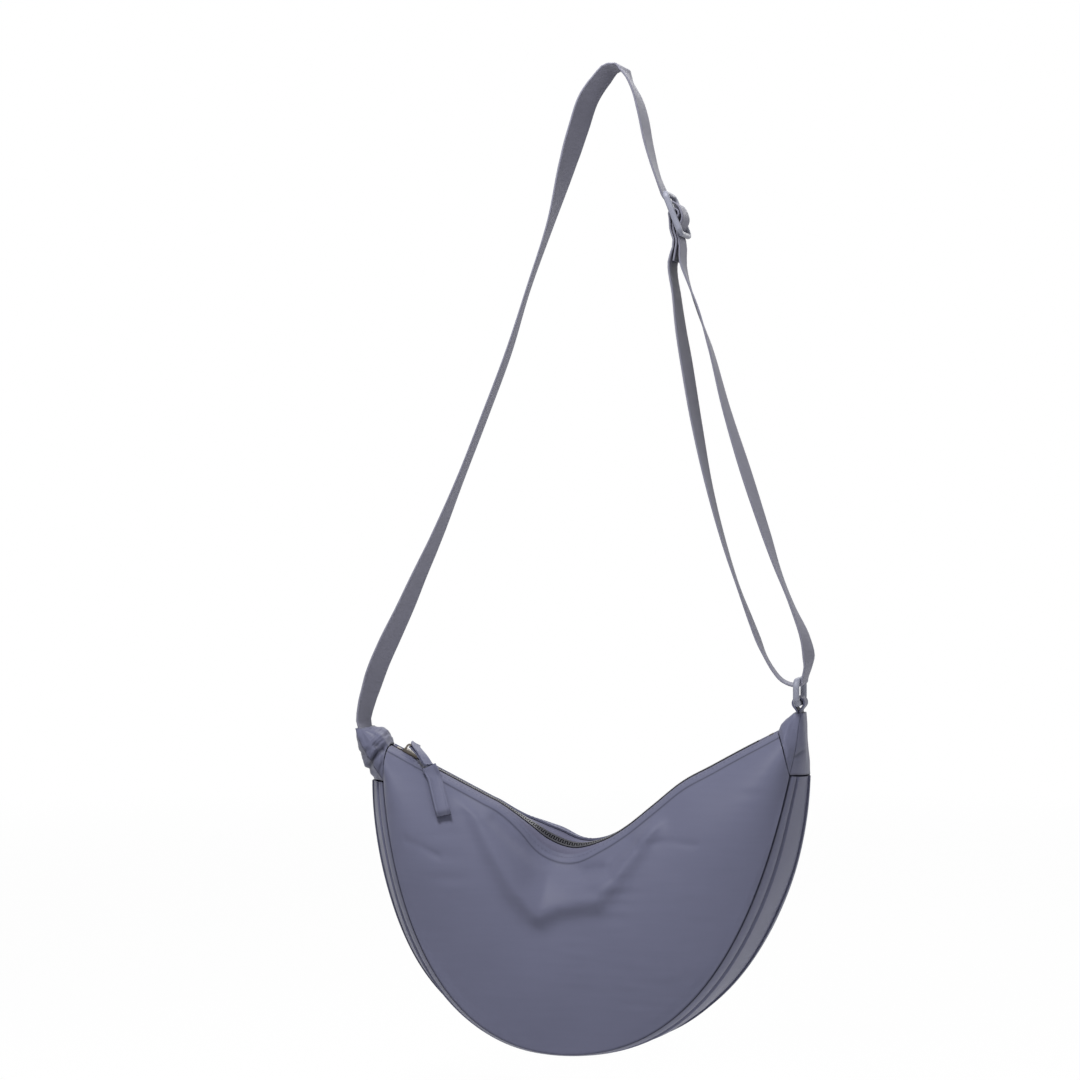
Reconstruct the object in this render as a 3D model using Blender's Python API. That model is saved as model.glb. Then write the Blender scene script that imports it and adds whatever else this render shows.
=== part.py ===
"""Soft half-moon crossbody bag with a webbing strap, a tri-glide adjuster and a zip.

World frame, metres, +Z up. The origin is the underside of the strap where a hook
or a hand carries it. The bag's width runs along X and its front faces -Y.
Each piece is one object. Pieces are grouped by the empties at the end of the file.
"""
import math

import bpy
import bmesh
from mathutils import Vector

# Overall places, measured from the point where the strap is carried
STRAP_DROP = 0.4300          # from the hook down to the left corner's mouth
STRAP_REACH = 0.1672         # from the hook sideways to the left corner's mouth
ZIP_DROP = 0.4419            # from the hook down to the zip's left end
ZIP_REACH = 0.1490           # from the hook sideways to the zip's left end
SEAM_DROP = 0.6340           # from the hook down to the front seam's lowest point
SEAM_SHIFT = 0.0270          # the seam's lowest point lies this far left of the hook

# Front panel outline
SEAM_HALF_WIDTH = 0.1310     # half of the front seam's width at its top
SEAM_HEIGHT = 0.1735         # height of the front seam
SEAM_LEAN = 0.0070           # the seam's top lies this far right of its foot
SEAM_TILT = 0.0035           # the right end hangs higher, and the left end lower
SEAM_FOOT_SHARE = 0.63       # handle of the seam's round foot, of its half width
SEAM_SIDE_SHARES = (0.88, 0.50)   # handle of the seam's side, of half width and height

# Depth of the body
HALF_DEPTH = 0.0380          # half of the body's depth at mid-width
END_HALF_DEPTH = 0.0200      # half of the body's depth at the corners
BACK_SPLAY = 0.0265          # the back seam lies this far outside the front one, at the sides
FOOT_SPLAY = 0.0045          # and this far below it, at its foot
END_SPLAY = 0.0135           # and this far outside it, at its ends
PANEL_CROWN = 0.0160         # how far a panel bulges beyond its own edges
GUSSET_CROWN = 0.0030

# Zip
ZIP_LENGTH = 0.2530          # straight distance between the zip's ends
ZIP_DIP = 0.0641             # how far the mouth sags below the zip's left end
STRAIGHT_RUN = 0.0820        # the zip's straight left part, where the slider travels
STRAIGHT_ANGLE = math.radians(27.2)
CREST_SHARES = (             # the zip's curved part: share of ZIP_LENGTH, of ZIP_DIP
    (0.364, 0.782), (0.419, 0.922), (0.482, 1.000), (0.549, 0.945), (0.609, 0.813),
    (0.680, 0.587), (0.755, 0.345), (0.830, 0.181), (0.905, 0.017), (0.976, -0.131),
    (1.000, -0.181))
ROLL_PEAK = math.radians(42)  # the sagging mouth rolls forward by this much
ROLL_PLACE_SHARE = 0.43      # where it rolls most, as a share of the zip's length
ROLL_WIDTH_SHARE = 0.075
TAPE_FLAT = 0.0054           # the tape is flat this far from the zip's centre line
TAPE_REACH = 0.0130          # from the centre line to the fold of the panel
TAPE_FALL = 0.0032           # the tape's outer edge lies this far below its centre
TAPE_THICKNESS = 0.0006
TAPE_GAP = 0.0003            # between the tape and the back of the teeth
TOOTH_PITCH = 0.0032
TOOTH_LENGTH = 0.0009        # a tooth's size along the zip
TOOTH_BACK = 0.0026          # the teeth's outer side, from the centre line
TOOTH_ROOT = 0.0014
TOOTH_TIP = 0.0009           # a tooth reaches this far past the centre line
TOOTH_HEIGHT = 0.0020
STOP_LENGTH = 0.0030
STOP_INSET = 0.0050          # the stops stand this far inside the zip's ends

# Fabric
FABRIC = 0.0012              # shell fabric, with its backing
LINING = 0.0006
GAP = 0.0003                 # clearance between pieces that touch
SEAM_GAP = 0.0007            # clearance where two sheets meet at an angle
PANEL_LAP = 0.0035           # the panels cover the tape's edge by this much
BAND_WIDTH = 0.0050          # the stitched fold beside each seam
BAND_RISE = 0.0008
LINING_GAP = 0.0009          # the lining hangs this far inside the shell
POCKET_EASE = 0.0030         # the pocket's mouth stands off the lining

# Webbing strap
WEB_WIDTH = 0.0250
WEB_THICKNESS = 0.0013
WEB_GAP = 0.0004             # between plies, and between a ply and a bar
WEB_INSERT = 0.0050          # length of webbing inside the left corner
WEB_REST = 0.0024            # half of the flat stretch that lies on the hook
HOOK_TURN = 17               # degrees that the webbing is turned there
CORNER_TURN = 8              # degrees that it is turned at the left corner

# Adjuster
ADJUSTER_X = 0.0384          # its middle bar, right of the hook
ADJUSTER_DROP = 0.0963       # its middle bar, below the hook
ADJUSTER_ANGLE = math.radians(21.0)   # its long side, from the vertical
ADJUSTER_TURN = 8            # degrees that its bars are turned from +Y towards +X
BAR_PITCH = 0.0140           # between the bars' centres
BAR_WIDTH = 0.0032
BAR_THICKNESS = 0.0030
RAIL_WIDTH = 0.0040
RAIL_CLEARANCE = 0.0010      # between the webbing's edge and a rail

# Ring and its fabric loop
RING_X = 0.1175              # the ring's bars, right of the hook
RING_TOP_DROP = 0.3970       # its upper bar, below the hook
RING_BAR_SPACING = 0.0144    # between the upper and the lower bar
RING_BAR = 0.0042            # bar diameter
RING_SIDE_CLEARANCE = 0.0012
LOOP_WIDTH = 0.0150
LOOP_THICKNESS = 0.0013
LOOP_NECK = 0.0065           # from the lower bar down to the right corner's mouth
LOOP_INSERT = 0.0035

# Slider and pull
SLIDER_PLACE = 0.0135        # along the zip from its left end
SLIDER_LENGTH = 0.0110
SLIDER_WIDTH = 0.0094
SLIDER_NOSE = 0.0074         # width at the closing end
SLIDER_PLATE = 0.0011
SLIDER_HALF_THROAT = 0.0015  # half of the room for the teeth
FLANGE_WIDTH = 0.0009
FLANGE_ROOM = 0.0004         # between a flange and the tape
POST_LENGTH = 0.0026
POST_WIDTH = 0.0016
POST_PLACE = 0.0036          # ahead of the slider's middle
BRIDGE_SPAN = 0.0102
BRIDGE_HEIGHT = 0.0048
BRIDGE_WIDTH = 0.0022
BRIDGE_BAR = 0.0011
PULL_PLY = 0.0009
PULL_LOOP_WIDTH = 0.0050
PULL_TAB_WIDTH = 0.0096
PULL_LENGTH = 0.0560
PULL_TAB_THICKNESS = 0.0026
PULL_EASE = 0.0017           # the tab stands off the front panel by this much

FABRIC_COLOUR = (0.235, 0.225, 0.330, 1.0)
WEB_COLOUR = (0.215, 0.215, 0.285, 1.0)
PLASTIC_COLOUR = (0.300, 0.300, 0.370, 1.0)
METAL_COLOUR = (0.200, 0.185, 0.170, 1.0)
LINING_COLOUR = (0.180, 0.175, 0.240, 1.0)
TEETH_COLOUR = (0.030, 0.030, 0.045, 1.0)


def clear_scene():
    for old in list(bpy.data.objects):
        bpy.data.objects.remove(old)


def make_material(name, colour, roughness, metallic=0.0):
    material = bpy.data.materials.new(name)
    material.use_nodes = True
    shader = material.node_tree.nodes["Principled BSDF"]
    shader.inputs["Base Color"].default_value = colour
    shader.inputs["Roughness"].default_value = roughness
    shader.inputs["Metallic"].default_value = metallic
    return material


def make_object(name, points, faces, material, smooth_angle=math.radians(40)):
    """One closed mesh with its faces turned outwards."""
    shape = bmesh.new()
    corners = [shape.verts.new(point) for point in points]
    for face in faces:
        shape.faces.new([corners[index] for index in face])
    bmesh.ops.recalc_face_normals(shape, faces=shape.faces[:])
    mesh = bpy.data.meshes.new(name)
    shape.to_mesh(mesh)
    shape.free()
    mesh.shade_smooth()
    mesh.set_sharp_from_angle(angle=smooth_angle)
    item = bpy.data.objects.new(name, mesh)
    item.data.materials.append(material)
    bpy.context.scene.collection.objects.link(item)
    return item


def lerp(first, last, share):
    return first + (last - first) * share


def smooth_curve(points, steps):
    """Points on a smooth curve that passes through the given ones."""
    curve = []
    for index in range(len(points) - 1):
        start, end = points[index], points[index + 1]
        before = points[index - 1] if index else start * 2 - end
        after = points[index + 2] if index + 2 < len(points) else end * 2 - start
        leave, arrive = (end - before) / 2, (after - start) / 2
        for step in range(steps):
            t = step / steps
            curve.append(start * (2 * t**3 - 3 * t**2 + 1) + end * (3 * t**2 - 2 * t**3)
                         + leave * (t**3 - 2 * t**2 + t) + arrive * (t**3 - t**2))
    curve.append(points[-1])
    return curve


class Curve:
    """A polyline that is read by the share of its length."""

    def __init__(self, points):
        self.points = points
        self.marks = [0.0]
        for first, last in zip(points, points[1:]):
            self.marks.append(self.marks[-1] + (last - first).length)
        self.length = self.marks[-1]

    def at(self, share):
        place = share * self.length
        last = len(self.points) - 1
        index = next((i for i in range(1, last) if self.marks[i] > place), last)
        low, high = self.marks[index - 1], self.marks[index]
        return lerp(self.points[index - 1], self.points[index], (place - low) / (high - low))


# The bag's guide curves. They lie in the XZ plane, and Y comes from the depth.

def flat(x, z):
    return Vector((x, 0.0, z))


def crest_curve():
    """The zip's centre line, from its left end to its right end."""
    start = flat(-ZIP_REACH, -ZIP_DROP)
    run = flat(math.cos(STRAIGHT_ANGLE), -math.sin(STRAIGHT_ANGLE)) * STRAIGHT_RUN
    bend = [start + run * 0.9, start + run]
    bend += [start + flat(ZIP_LENGTH * x, -ZIP_DIP * z) for x, z in CREST_SHARES]
    return Curve([start] + smooth_curve(bend, 5))


def seam_curve():
    """The front panel's round seam, from its left end to its right end."""
    side_x, side_z = SEAM_SIDE_SHARES
    half = []
    for step in range(25):
        t = step / 24
        x = (3 * (1 - t)**2 * t * SEAM_FOOT_SHARE + 3 * (1 - t) * t**2 * side_x + t**3)
        z = (3 * (1 - t) * t**2 * side_z + t**3)
        half.append((x, z))
    outline = [(-x, z) for x, z in reversed(half[1:])] + half
    return Curve([flat(-SEAM_SHIFT + x * SEAM_HALF_WIDTH + z * SEAM_LEAN,
                       -SEAM_DROP + z * SEAM_HEIGHT + x * SEAM_TILT)
                  for x, z in outline])


CREST = crest_curve()
SEAM = seam_curve()


def middle_share(u, power):
    """0 at both ends of the body and 1 in its middle."""
    return 1 - abs(2 * u - 1)**power


def half_depth(u):
    return lerp(END_HALF_DEPTH, HALF_DEPTH, middle_share(u, 5))


def seam_outward(u):
    step = 0.004
    along = (SEAM.at(min(u + step, 1)) - SEAM.at(max(u - step, 0))).normalized()
    return Vector((along.z, 0.0, -along.x))


def seam_point(u, side):
    """The seam of the front panel (side -1) or of the back panel (side 1)."""
    point = SEAM.at(u)
    if side > 0:
        outward = seam_outward(u)
        aside = lerp(END_SPLAY, BACK_SPLAY, middle_share(u, 4))
        point = point + outward * lerp(FOOT_SPLAY, aside, abs(outward.x)**1.5)
    return point


def crest_axes(u):
    """Point of the zip's centre line, its direction to the back and its normal."""
    step = 0.012
    along = (CREST.at(min(u + step, 1)) - CREST.at(max(u - step, 0))).normalized()
    level = Vector((-along.z, 0.0, along.x))
    back = Vector((0.0, 1.0, 0.0))
    roll = ROLL_PEAK * math.exp(-((u - ROLL_PLACE_SHARE) / ROLL_WIDTH_SHARE)**2)
    return (CREST.at(u), back * math.cos(roll) + level * math.sin(roll),
            level * math.cos(roll) - back * math.sin(roll))


def tape_fall(distance):
    """How far the zip tape lies below its centre, at a distance from it."""
    share = max(0.0, distance - TAPE_FLAT) / (TAPE_REACH - TAPE_FLAT)
    return TAPE_FALL * share


def tape_point(u, v, side):
    middle, back, up = crest_axes(u)
    distance = lerp(TOOTH_BACK + TAPE_GAP, TAPE_REACH - FABRIC - SEAM_GAP, v)
    return middle + back * side * distance - up * tape_fall(distance)


LAP_SHARE = 0.05             # share of a panel's height that lies on the tape


def panel_point(u, v, side):
    """Outer surface of a panel, from the zip (v = 0) down to the seam (v = 1)."""
    middle, back, up = crest_axes(u)
    lift = FABRIC + SEAM_GAP + TAPE_THICKNESS / 2
    distance = lerp(TAPE_REACH - PANEL_LAP, TAPE_REACH, min(1.0, v / LAP_SHARE))
    top = middle + back * side * distance + up * (lift - tape_fall(distance))
    if v < LAP_SHARE:
        return top
    share = (v - LAP_SHARE) / (1 - LAP_SHARE)
    point = lerp(top, seam_point(u, side), share)
    crown = PANEL_CROWN * lerp(0.45, 1.0, middle_share(u, 4))
    point.y = (lerp(top.y, side * half_depth(u), share)
               + side * crown * math.sin(math.pi * share**0.8))
    return point


def gusset_point(u, w):
    """Outer surface of the gusset, from the front seam (w = -1) to the back (w = 1)."""
    point = lerp(seam_point(u, -1), seam_point(u, 1), (w + 1) / 2)
    point += seam_outward(u) * GUSSET_CROWN * (1 - w * w)
    point.y = half_depth(u) * w
    return point


def normal_of(surface, u, v):
    """Outward normal of a surface that is read as surface(u, v)."""
    step = 0.003
    along = surface(min(u + step, 1), v) - surface(max(u - step, 0), v)
    across = surface(u, v + step) - surface(u, v - step)
    return along.cross(across).normalized()


def add_grid(faces, rows, columns, start, closed=False):
    """Quads of a grid whose points are stored row by row from an index."""
    for row in range(rows - 1):
        for column in range(columns if closed else columns - 1):
            right = (column + 1) % columns
            faces.append((start + row * columns + column, start + row * columns + right,
                          start + (row + 1) * columns + right,
                          start + (row + 1) * columns + column))


def make_sheet(name, surface, us, vs, outside, inside, material, rise=None):
    """A closed sheet between two offsets of a surface. outside and inside are the
    offsets along the outward normal, and rise(v) lifts the outer face."""
    points = []
    for layer in (0, 1):
        for u in us:
            for v in vs:
                normal = normal_of(surface, u, v)
                offset = inside if layer else outside + (rise(v) if rise else 0.0)
                points.append(surface(u, v) + normal * offset)
    rows, columns = len(us), len(vs)
    total = rows * columns
    faces = []
    add_grid(faces, rows, columns, 0)
    add_grid(faces, rows, columns, total)
    border = [(0, c) for c in range(columns)]
    border += [(r, columns - 1) for r in range(1, rows)]
    border += [(rows - 1, c) for c in range(columns - 2, -1, -1)]
    border += [(r, 0) for r in range(rows - 2, 0, -1)]
    for first, last in zip(border, border[1:] + border[:1]):
        a, b = first[0] * columns + first[1], last[0] * columns + last[1]
        faces.append((a, b, b + total, a + total))
    return make_object(name, points, faces, material)


def make_tube(name, loops, material, closed=False):
    """A solid through loops of points, capped at both ends unless it is closed."""
    columns = len(loops[0])
    points = [point for loop in loops for point in loop]
    faces = []
    add_grid(faces, len(loops), columns, 0, closed=True)
    if closed:
        last = (len(loops) - 1) * columns
        for column in range(columns):
            right = (column + 1) % columns
            faces.append((last + column, last + right, right, column))
    else:
        faces.append(tuple(range(columns)))
        faces.append(tuple(range(len(points) - columns, len(points))))
    return make_object(name, points, faces, material)


def make_ribbon(name, path, sides, width, thickness, material, square=False):
    """Flat webbing along a path. sides gives its width direction at each point, and
    square turns that direction square to the path."""
    loops = []
    for index, point in enumerate(path):
        before, after = path[max(index - 1, 0)], path[min(index + 1, len(path) - 1)]
        along = (after - before).normalized()
        side = sides[index]
        if square:
            side = side - along * side.dot(along)
        side = side.normalized() * width / 2
        lift = along.cross(side).normalized() * thickness / 2
        loops.append([point - side - lift, point + side - lift,
                      point + side + lift, point - side + lift])
    return make_tube(name, loops, material)


def spread(low, high, count):
    return [lerp(low, high, step / count) for step in range(count + 1)]


# Body of the bag

BODY_ROWS = 32


def make_panels(fabric, lining):
    rows = spread(0.0, 1.0, BODY_ROWS)
    down = [0.0, LAP_SHARE / 2, LAP_SHARE] + spread(0.10, 1.0, 9)
    for side, name in ((-1, "front"), (1, "back")):
        def surface(u, v, side=side):
            return panel_point(u, v, side)
        sign = -side
        make_sheet(name + "_panel", surface, rows, down, 0.0, sign * FABRIC, fabric)
        skin = sign * (FABRIC + LINING_GAP)
        make_sheet("lining_" + name, surface, rows[2:-2], spread(0.16, 0.92, 5),
                   skin, skin + sign * LINING, lining)


def make_pocket(lining):
    """A slip pocket on the back lining, open at its top."""
    def surface(u, v):
        point = panel_point(u, v, 1)
        inner = FABRIC + LINING_GAP + LINING + GAP * 2
        ease = POCKET_EASE * max(0.0, 1 - (v - 0.30) / 0.42)
        point.y -= inner + ease
        return point
    make_sheet("inner_pocket", surface, spread(0.38, 0.66, 6), spread(0.30, 0.74, 4),
               0.0, -LINING, lining)


def make_gusset(fabric, lining):
    def surface(u, w):
        shrunk = w * (1 - (FABRIC + SEAM_GAP) / half_depth(u))
        return gusset_point(u, shrunk)
    band = BAND_WIDTH / HALF_DEPTH
    across = [-1.0, -1 + band * 0.94, -1 + band * 1.12, -0.5, 0.0, 0.5,
              1 - band * 1.12, 1 - band * 0.94, 1.0]
    make_sheet("gusset", surface, spread(0.0, 1.0, BODY_ROWS), across, 0.0, FABRIC, fabric,
               rise=lambda w: -BAND_RISE if abs(w) > 1 - band else 0.0)
    skin = FABRIC + LINING_GAP
    make_sheet("lining_gusset", surface, spread(0.0, 1.0, BODY_ROWS)[2:-2],
               spread(-0.84, 0.84, 4), skin, skin + LINING, lining)


# Zip

def slider_frame():
    """The slider's middle, with the directions along the zip and out of it."""
    along = flat(math.cos(STRAIGHT_ANGLE), -math.sin(STRAIGHT_ANGLE))
    up = flat(math.sin(STRAIGHT_ANGLE), math.cos(STRAIGHT_ANGLE))
    middle = flat(-ZIP_REACH, -ZIP_DROP) + along * SLIDER_PLACE
    return middle, along, Vector((0.0, 1.0, 0.0)), up


def make_tapes(tape):
    inner = TOOTH_BACK + TAPE_GAP
    flat_share = (TAPE_FLAT - inner) / (TAPE_REACH - FABRIC - SEAM_GAP - inner)
    for side, name in ((-1, "front"), (1, "back")):
        def surface(u, v, side=side):
            return tape_point(u, v, side)
        half = TAPE_THICKNESS / 2
        make_sheet("zip_tape_" + name, surface, spread(0.0, 1.0, BODY_ROWS),
                   [0.0, flat_share, 1.0], half, -half, tape)


def make_teeth(material):
    """Two rows of interlocking teeth, each one comb with a tooth at every pitch."""
    start = SLIDER_PLACE - POST_PLACE + POST_LENGTH
    stop = CREST.length - STOP_INSET - STOP_LENGTH - TOOTH_PITCH
    count = int((stop - start) / TOOTH_PITCH)
    half = TOOTH_HEIGHT / 2
    for side, name in ((-1, "front"), (1, "back")):
        shift = 0.0 if side < 0 else TOOTH_PITCH / 2
        rim = []
        for tooth in range(count):
            low = start + shift + tooth * TOOTH_PITCH
            high = low + TOOTH_LENGTH
            rim += [(low, TOOTH_ROOT), (low, -TOOTH_TIP), (high, -TOOTH_TIP),
                    (high, TOOTH_ROOT)]
        back = [(place, TOOTH_BACK) for place, _ in rim]
        points, faces = [], []
        for level in (half, -half):
            for outline in (rim, back):
                for place, reach in outline:
                    middle, across, up = crest_axes(place / CREST.length)
                    points.append(middle + up * level + across * side * reach)
        total = len(rim)
        for low in (0, 2 * total):
            for index in range(0, total - 1):
                if index % 4 == 1:
                    continue
                faces += comb_faces(low, index, total)
        faces += comb_walls(total)
        make_object("zip_teeth_" + name, points, faces, material, math.radians(30))


def comb_faces(low, index, total):
    """Top or bottom faces of one step of a comb. Every fourth step holds the tooth."""
    a, b = low + index, low + index + 1
    if index % 4 == 0:
        root_end = low + index + 3
        return [(low + index, low + index + 1, low + index + 2, root_end),
                (low + index, root_end, root_end + total, low + index + total)]
    if index % 4 == 3:
        return [(a, b, b + total, a + total)]
    return []


def comb_walls(total):
    """Side walls of a comb between its top and bottom outlines."""
    under = 2 * total
    faces = [(i, i + 1, i + 1 + under, i + under) for i in range(total - 1)]
    steps = [i for i in range(total - 1) if i % 4 == 0 or i % 4 == 3]
    for i in steps:
        a = total + i
        b = total + (i + 3 if i % 4 == 0 else i + 1)
        faces.append((a, b, b + under, a + under))
    faces.append((0, total, total + under, under))
    end = total - 1
    faces.append((end, end + total, end + total + under, end + under))
    return faces


def box_loops(middle, axes, sizes):
    """Two loops of a box with its size along three directions."""
    half = [axis * size / 2 for axis, size in zip(axes, sizes)]
    corners = [(-1, -1), (1, -1), (1, 1), (-1, 1)]
    return [[middle + half[0] * end + half[1] * a + half[2] * b for a, b in corners]
            for end in (-1, 1)]


def make_stops(metal):
    """Metal stops clamped on the zip's two ends."""
    ends = (("zip_stop_left", STOP_INSET), ("zip_stop_right", CREST.length - STOP_INSET))
    for name, place in ends:
        middle, across, up = crest_axes(place / CREST.length)
        sizes = (STOP_LENGTH, TOOTH_BACK * 2, TOOTH_HEIGHT)
        make_tube(name, box_loops(middle, (up.cross(across), across, up), sizes), metal)


def join(base, others):
    """Joins solids that overlap into one closed body."""
    for other in others:
        cut = base.modifiers.new("join", "BOOLEAN")
        cut.operation = "UNION"
        cut.object = other
    bpy.context.view_layer.update()
    graph = bpy.context.evaluated_depsgraph_get()
    mesh = bpy.data.meshes.new_from_object(base.evaluated_get(graph))
    base.modifiers.clear()
    base.data = mesh
    mesh.shade_smooth()
    mesh.set_sharp_from_angle(angle=math.radians(40))
    for other in others:
        bpy.data.objects.remove(other)
    return base


def make_channel(name, frame, sign, metal):
    """One plate of the slider with its two flanges, narrower at the nose."""
    middle, along, across, up = frame
    inner, outer = SLIDER_HALF_THROAT, SLIDER_HALF_THROAT + SLIDER_PLATE
    lip = TAPE_THICKNESS / 2 + FLANGE_ROOM
    loops = []
    for end, width in ((-1, SLIDER_NOSE), (-0.4, SLIDER_WIDTH), (1, SLIDER_WIDTH)):
        half = width / 2
        outline = [(-half, lip), (-half, outer), (half, outer), (half, lip),
                   (half - FLANGE_WIDTH, lip), (half - FLANGE_WIDTH, inner),
                   (-half + FLANGE_WIDTH, inner), (-half + FLANGE_WIDTH, lip)]
        place = middle + along * end * SLIDER_LENGTH / 2
        loops.append([place + across * y + up * z * sign for y, z in outline])
    return make_tube(name, loops, metal)


def make_slider(metal):
    frame = slider_frame()
    middle, along, across, up = frame
    base = make_channel("zip_slider", frame, 1, metal)
    lower = make_channel("lower_plate", frame, -1, metal)
    post_middle = middle - along * POST_PLACE
    post_height = (SLIDER_HALF_THROAT + SLIDER_PLATE / 2) * 2
    post = make_tube("post", box_loops(post_middle, (up, along, across),
                                       (post_height, POST_LENGTH, POST_WIDTH)), metal)
    loops = []
    foot = SLIDER_HALF_THROAT + SLIDER_PLATE / 2
    for step in range(13):
        angle = math.pi * step / 12
        wide = math.copysign(abs(math.cos(angle))**0.5, -math.cos(angle))
        high = math.sin(angle)**0.5
        loop = []
        for y, inward in ((-1, 0), (1, 0), (1, 1), (-1, 1)):
            span = BRIDGE_SPAN / 2 - inward * BRIDGE_BAR
            rise = BRIDGE_HEIGHT - inward * BRIDGE_BAR
            loop.append(middle + along * wide * span + up * (foot + high * rise)
                        + across * y * BRIDGE_WIDTH / 2)
        loops.append(loop)
    bridge = make_tube("bridge", loops, metal)
    return join(base, [lower, post, bridge])


PULL_LOOP_SHARES = (         # the loop's route from the bridge: along, back and up
    (0.035, -0.100, 0.000), (0.150, -0.215, -0.020), (0.280, -0.320, -0.065))
PULL_SPREAD_SHARES = (1.9, 1.25, 1.0)   # how far apart the loop's two plies lie, there
PULL_TAB_SHARES = (          # places on the front panel under the tab: across and down
    (0.122, 0.100), (0.137, 0.150), (0.158, 0.215), (0.178, 0.270))


def bridge_bar():
    """Middle of the bridge's top bar, which carries the pull."""
    middle, _, _, up = slider_frame()
    return middle + up * (SLIDER_HALF_THROAT + SLIDER_PLATE / 2 + BRIDGE_HEIGHT
                          - BRIDGE_BAR / 2)


def make_pull(fabric):
    """A narrow fabric loop round the bridge, sewn into a folded tab."""
    _, along, across, up = slider_frame()
    bar = bridge_bar()
    around = math.hypot(BRIDGE_WIDTH, BRIDGE_BAR) / 2 + GAP + PULL_PLY / 2
    lean = [bar + (along * a + across * b + up * c) * PULL_LENGTH
            for a, b, c in PULL_LOOP_SHARES]
    wrap = [bar + (across * math.cos(angle) + up * math.sin(angle)) * around
            for angle in (math.radians(degrees) for degrees in range(-120, 121, 40))]

    def front(u, v):
        return panel_point(u, v, -1)

    offset = PULL_TAB_THICKNESS / 2 + PULL_EASE
    rest = [front(u, v) - normal_of(front, u, v) * offset for u, v in PULL_TAB_SHARES]
    plies = []
    for sign in (-1, 1):
        ply = []
        stations = zip([bar] + lean, lean, lean[1:] + rest, PULL_SPREAD_SHARES)
        for before, point, after, apart in stations:
            lift = (after - before).cross(along).normalized()
            ply.append(point + lift * sign * apart * (PULL_PLY + GAP) / 2)
        plies.append(ply)
    path = smooth_curve(plies[0][::-1] + wrap + plies[1], 2)
    make_ribbon("pull_loop", path, [along] * len(path), PULL_LOOP_WIDTH, PULL_PLY, fabric,
                square=True)
    first = lerp(lean[-1], rest[0], GAP * 3 / (rest[0] - lean[-1]).length)
    tab = smooth_curve([first] + rest, 3)
    make_ribbon("pull_tab", tab, [along] * len(tab), PULL_TAB_WIDTH, PULL_TAB_THICKNESS,
                fabric, square=True)


# Strap route. A stretch is given between its two ends, as the share of the way and
# the share of the distance that it bows to the left of the way, with its turn.

LEFT_BRANCH_SHARES = (       # from the left corner up to the hook
    (0.031, 0.0096, 15), (0.055, 0.0115, 19), (0.079, 0.0130, 22), (0.129, 0.0110, 23),
    (0.179, 0.0070, 19), (0.229, 0.0044, 14), (0.280, 0.0010, 9), (0.378, -0.0020, 1),
    (0.476, -0.0030, 0), (0.573, -0.0026, -1), (0.667, 0.0030, -4), (0.762, 0.0064, 1),
    (0.856, 0.0140, 19), (0.903, 0.0170, 24), (0.950, 0.0180, 24), (0.977, 0.0110, 22))
RIGHT_BRANCH_SHARES = (      # from the hook down to the adjuster
    (0.045, 0.012, 13), (0.114, 0.0245, 6), (0.249, 0.043, 9), (0.376, 0.038, 11),
    (0.622, 0.007, 9.5), (0.874, -0.006, 6))
RIGHT_STRAND_SHARES = (      # from the adjuster down to the ring
    (0.052, -0.012, 6), (0.100, -0.0115, 0), (0.163, -0.0075, -3), (0.237, -0.004, 3),
    (0.383, -0.006, 9), (0.529, -0.002, 14), (0.676, 0.004, 11), (0.750, 0.0074, 6),
    (0.843, 0.017, 1), (0.918, 0.025, 5), (0.953, 0.022, 8), (0.974, 0.015, 3))
LEFT_STRAND_SHARES = (       # from the ring up to the adjuster's middle bar
    (0.008, 0.021, -7), (0.021, 0.035, -7), (0.041, 0.045, -7), (0.080, 0.056, -7),
    (0.117, 0.061, -3), (0.172, 0.066, -2), (0.319, 0.075, 2), (0.462, 0.074, 6),
    (0.604, 0.064, 12), (0.744, 0.0495, 14), (0.815, 0.042, 12), (0.884, 0.032, 9),
    (0.954, 0.022, 9))


def turned(degrees):
    """Width direction of the webbing, turned from +Y towards +X."""
    angle = math.radians(degrees)
    return Vector((math.sin(angle), math.cos(angle), 0.0))


def stretch(start, end, rows):
    way = end - start
    left = Vector((-way.z, 0.0, way.x))
    return [(start + way * share + left * bow, turned(turn)) for share, bow, turn in rows]


def adjuster_axes():
    """The adjuster's middle, with its directions down the strap, across it and out."""
    down = flat(math.sin(ADJUSTER_ANGLE), -math.cos(ADJUSTER_ANGLE))
    wide = turned(ADJUSTER_TURN)
    wide = (wide - down * wide.dot(down)).normalized()
    return flat(ADJUSTER_X, -ADJUSTER_DROP), down, wide, down.cross(wide)


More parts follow.
